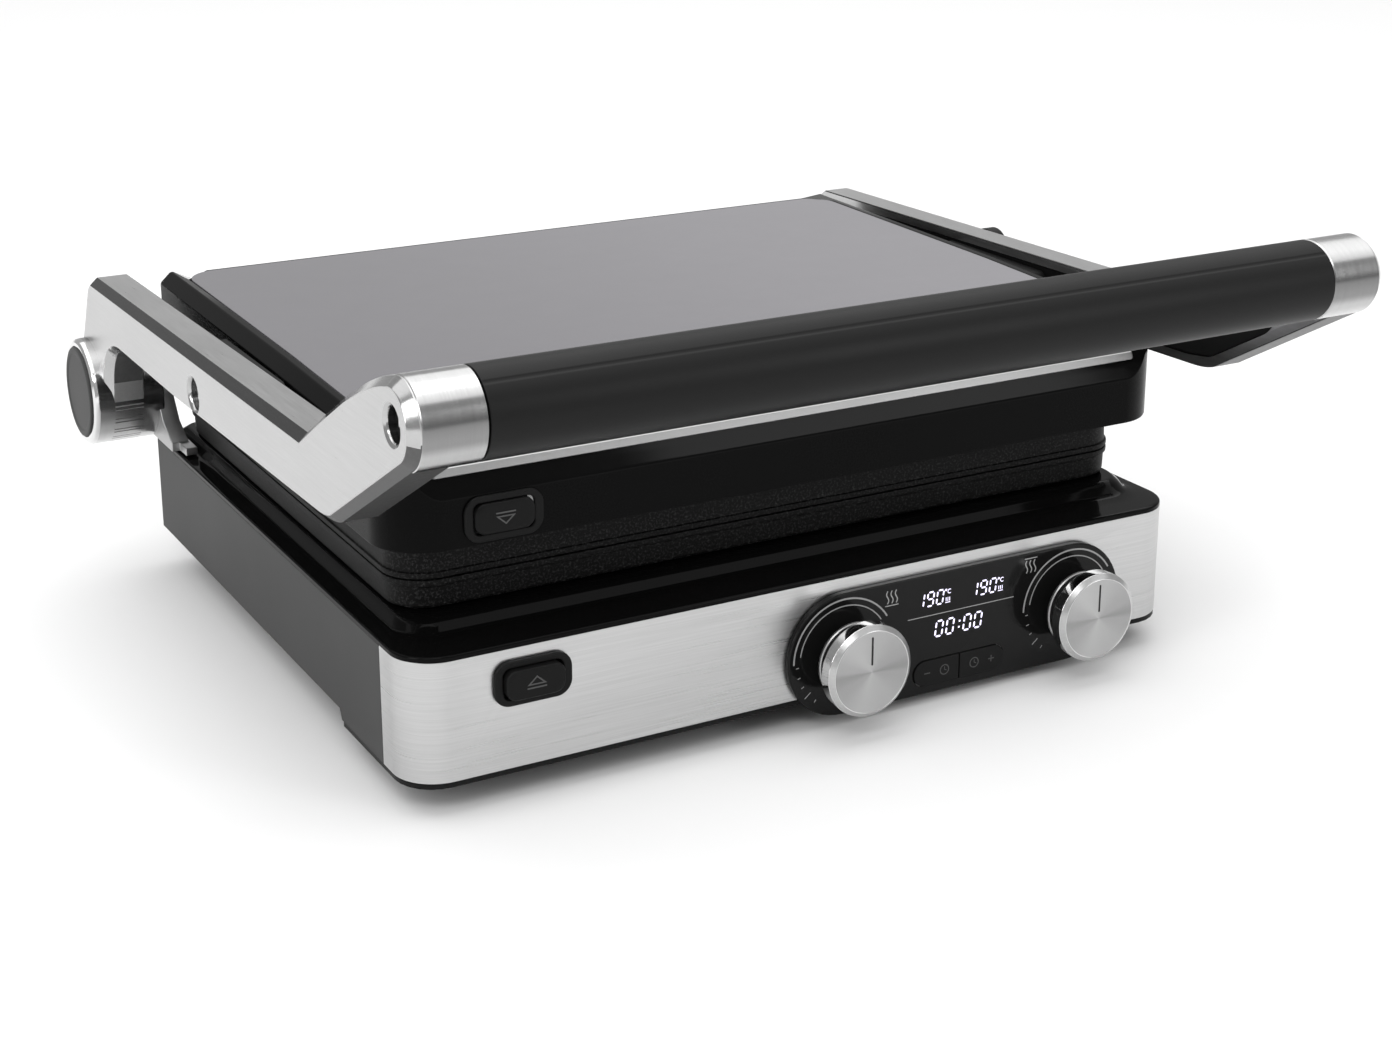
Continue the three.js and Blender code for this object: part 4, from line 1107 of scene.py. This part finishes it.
def right_arm():
    outline = anticlockwise(arm_outline())
    inner, outer = ARM_X
    chamfer = [
        (0.5, inner), (0.15, inner + 0.15), (0.0, inner + 0.5), (0.0, outer - 3.6),
        (0.12, outer - 3.3), (2.5, outer - 0.4), (2.8, outer - 0.1), (3.2, outer),
    ]
    rings = [[(x, y, z) for y, z in inset_loop(outline, s)] for s, x in chamfer]
    steps = [FLAT] * 4 + [CHAMFER] * 3 + [FLAT]
    arm = mesh_object("arm", Solid().loft(rings, steps))
    for face in arm.data.polygons:
        _, y, z = face.center / MM
        flat, slope, up = abs(face.normal.x) > 0.95, abs(face.normal.x) > 0.3, face.normal.z
        # faces that slope upwards on the arm's top take the painted dark reflection
        if not flat and slope and up > 0.3 and -95 < y < 155:
            face.material_index = TOP_EDGE
        # faces turned downwards at the handle end and under the hub take the painted shadow
        elif not flat and up < -0.2 and (y < -113 or (not slope and 45 < y < 168)):
            face.material_index = UNDERSIDE
    hub = [
        (HUB_RADIUS - 0.8, HUB_INNER), (HUB_RADIUS - 0.2, HUB_INNER + 0.25),
        (HUB_RADIUS, HUB_INNER + 0.8), (HUB_RADIUS, HUB_OUTER - 2.3),
        (HUB_RADIUS - 0.5, HUB_OUTER - 0.7), (HUB_RADIUS - 1.6, HUB_OUTER),
    ]
    socket = [
        (GRIP_RADIUS - 0.4, GRIP_HALF + GAP), (GRIP_RADIUS, GRIP_HALF + GAP + 0.4),
        (GRIP_RADIUS, outer - 4.0), (GRIP_RADIUS - 0.6, outer - 3.4),
    ]
    parts = [
        mesh_object("hub", Solid().turned(hub, HINGE_SPOT, "x", 96, [HUB] * 3 + [RIM] * 3)),
        mesh_object("socket", Solid().turned(socket, HANDLE_SPOT, "x", 96, [SOCKET] * 4)),
    ]
    boolean(arm, parts, "UNION")

    def bore(radius, x0, x1, y, z, mat=0):
        return cutter(Solid().turned([(radius, x0), (radius, x1)], (0, y, z), "x", 56, [mat] * 2))

    def rim_cutter(low, high, y, z):
        sides = [
            (low, outer - 1.3), (low + 0.25, outer - 0.75), (high - 0.5, outer - 0.15),
            (high + 0.2, outer + 0.1),
        ]
        return cutter(Solid().turned(sides, (0, y, z), "x", 64, [CHAMFER] * 4))

    pocket = anticlockwise(round_corners(ARM_POCKET, 3.5))
    cutters = [
        # the pocket's walls are satin black: painted shade in the hollow of the casting
        cutter(Solid().prism(pocket, "x", inner - 1, outer - 3.5, HOLLOW_SHADE)),
        bore(19.4, CAP_X[0] - 0.3, HUB_OUTER + 2, HINGE_Y, HINGE_Z, RIM),
        bore(6.3, HUB_INNER - 4, CAP_X[0] - 0.6, HINGE_Y, HINGE_Z),
        bore(8.3, GRIP_HALF - 1, inner - 1.7, HANDLE_Y, HANDLE_Z),
        bore(3.2, inner - 4, outer - 5, HANDLE_Y, HANDLE_Z),
        # the counterbore at the handle end is satin black inside: painted shade in the hole
        bore(5.6, outer - 7, outer + 2, HANDLE_Y, HANDLE_Z, HOLLOW_SHADE),
        bore(4.3, inner - 4, outer - 3, PIVOT_Y, PIVOT_Z),
        bore(6.0, outer - 4.6, outer + 2, PIVOT_Y, PIVOT_Z, TOP_EDGE),
        rim_cutter(6.0, 7.4, PIVOT_Y, PIVOT_Z),
        rim_cutter(5.6, 7.2, HANDLE_Y, HANDLE_Z),
    ]
    return boolean(arm, cutters)


def arm_pieces():
    right = right_arm()
    left = mirror_mesh(right, "arm_left_casting")
    hole = [(3.4, ARM_X[1] - 7), (3.4, ARM_X[1] + 2)]
    boolean(right, [cutter(Solid().turned(hole, LEVER_SPOT, "x", 32))])
    right.name = "arm_right_casting"
    for side, made in (("right", right), ("left", left)):
        bevelled(made, 0.25, 2, 50)
        piece(made, "arms", ARM_LOOKS, [f"arm_{side}"], angle=30)
    for side, s in (("right", 1), ("left", -1)):
        x0, x1 = CAP_X
        rim = [
            (18.2, x0), (18.9, x0 + 0.3), (19.1, x0 + 0.9), (19.1, x1 - 0.9), (18.8, x1 - 0.3),
            (18.1, x1), (16.8, x1), (16.2, x1 - 0.3), (15.6, x1 - 0.35),
        ]
        turned = [(radius, s * x) for radius, x in rim]
        solid = Solid().turned(turned, HINGE_SPOT, "x", 96)
        cap = mesh_object(f"hub_disc_{side}", solid)
        piece(cap, "arms", [charcoal], [f"hub_cap_{side}"], angle=40)


def grip():
    """Moulded grip along the handle, with the parting line of its two halves on the upper front."""
    sides, seam = 144, math.radians(128)
    groove = math.radians(1.6)
    ends = [
        (-GRIP_HALF, 8.3), (-GRIP_HALF, GRIP_RADIUS - 0.5), (-GRIP_HALF + 0.2, GRIP_RADIUS - 0.12),
        (-GRIP_HALF + 0.7, GRIP_RADIUS),
    ]
    stations = ends + [(x, GRIP_RADIUS) for x in (-110, 0, 110)]
    stations += [(-x, r) for x, r in reversed(ends)]
    rings = []
    for x, radius in stations:
        ring = []
        for i in range(sides):
            t = TAU * i / sides
            off = min(abs(t - seam), TAU - abs(t - seam))
            back = abs(t - (TAU - seam + math.pi) % TAU)
            depth = 0.22 if radius > 9 and (off < groove or back < groove) else 0.0
            r = radius - depth
            ring.append((x, HANDLE_Y + r * math.cos(t), HANDLE_Z + r * math.sin(t)))
        rings.append(ring)
    made = mesh_object("handle_grip_cover", Solid().loft(rings, closed=True))
    piece(made, "arms", [grip_black], ["handle_grip"], angle=40)


arm_pieces()
grip()


# ------------------------------------------------------------------ studio
def floor():
    mat = material(
        "studio_floor", grey(0.90), 0.30, specular=0.15, grain=(30, 30, 30), color_change=0.01,
        rough_change=0.02, bump=0.0, cloud=0.02,
    )
    solid = Solid()
    solid.face(solid.ring([(-9000, -9000, 0), (9000, -9000, 0), (9000, 9000, 0), (-9000, 9000, 0)]))
    made = mesh_object("studio_floor", solid)
    made.data.materials.append(mat)


def softbox(name, place_m, aim_m, size, energy):
    light = bpy.data.lights.new(name, "AREA")
    light.shape = "RECTANGLE"
    light.size, light.size_y = size
    light.energy = energy
    made = bpy.data.objects.new(name, light)
    bpy.context.scene.collection.objects.link(made)
    made.location = place_m
    made.rotation_euler = (Vector(aim_m) - Vector(place_m)).to_track_quat("-Z", "Y").to_euler()
    return made


def studio():
    floor()
    world = bpy.data.worlds.new("studio")
    world.use_nodes = True
    sky = world.node_tree.nodes["Background"]
    sky.inputs["Color"].default_value = (1.0, 1.0, 1.0, 1)
    sky.inputs["Strength"].default_value = 0.46
    bpy.context.scene.world = world
    softbox("ceiling", (0.8, 1.6, 4.0), (0.8, 1.6, 0), (9.0, 9.0), 280)
    softbox("overhead", (-0.1, 0.1, 1.9), (0, 0, 0), (1.6, 1.6), 8)
    softbox("front_top", (-0.75, -1.35, 1.5), (0, -0.1, 0.1), (1.3, 0.5), 9)
    softbox("left_front", (-1.8, -0.6, 1.0), (0, 0, 0.08), (0.7, 1.2), 12)
    softbox("right_front", (1.2, -1.9, 0.9), (0, 0, 0.08), (0.6, 0.9), 8)


def camera():
    """The photograph's view: from the left front and above."""
    data = bpy.data.cameras.new("photo_camera")
    data.sensor_width = 36.0
    data.lens = 59.4
    data.shift_y = -0.1
    made = bpy.data.objects.new("photo_camera", data)
    bpy.context.scene.collection.objects.link(made)
    azimuth, elevation = math.radians(-29.11), math.radians(16.77)
    back = Vector((
        math.sin(azimuth) * math.cos(elevation),
        -math.cos(azimuth) * math.cos(elevation),
        math.sin(elevation),
    ))
    made.location = (-0.4152, -0.7652, 0.3626)
    made.rotation_mode = "QUATERNION"
    made.rotation_quaternion = (-back).to_track_quat("-Z", "Y")
    data.clip_start, data.clip_end = 0.01, 60.0
    bpy.context.scene.camera = made


studio()
camera()
bpy.context.scene.view_settings.view_transform = "Standard"
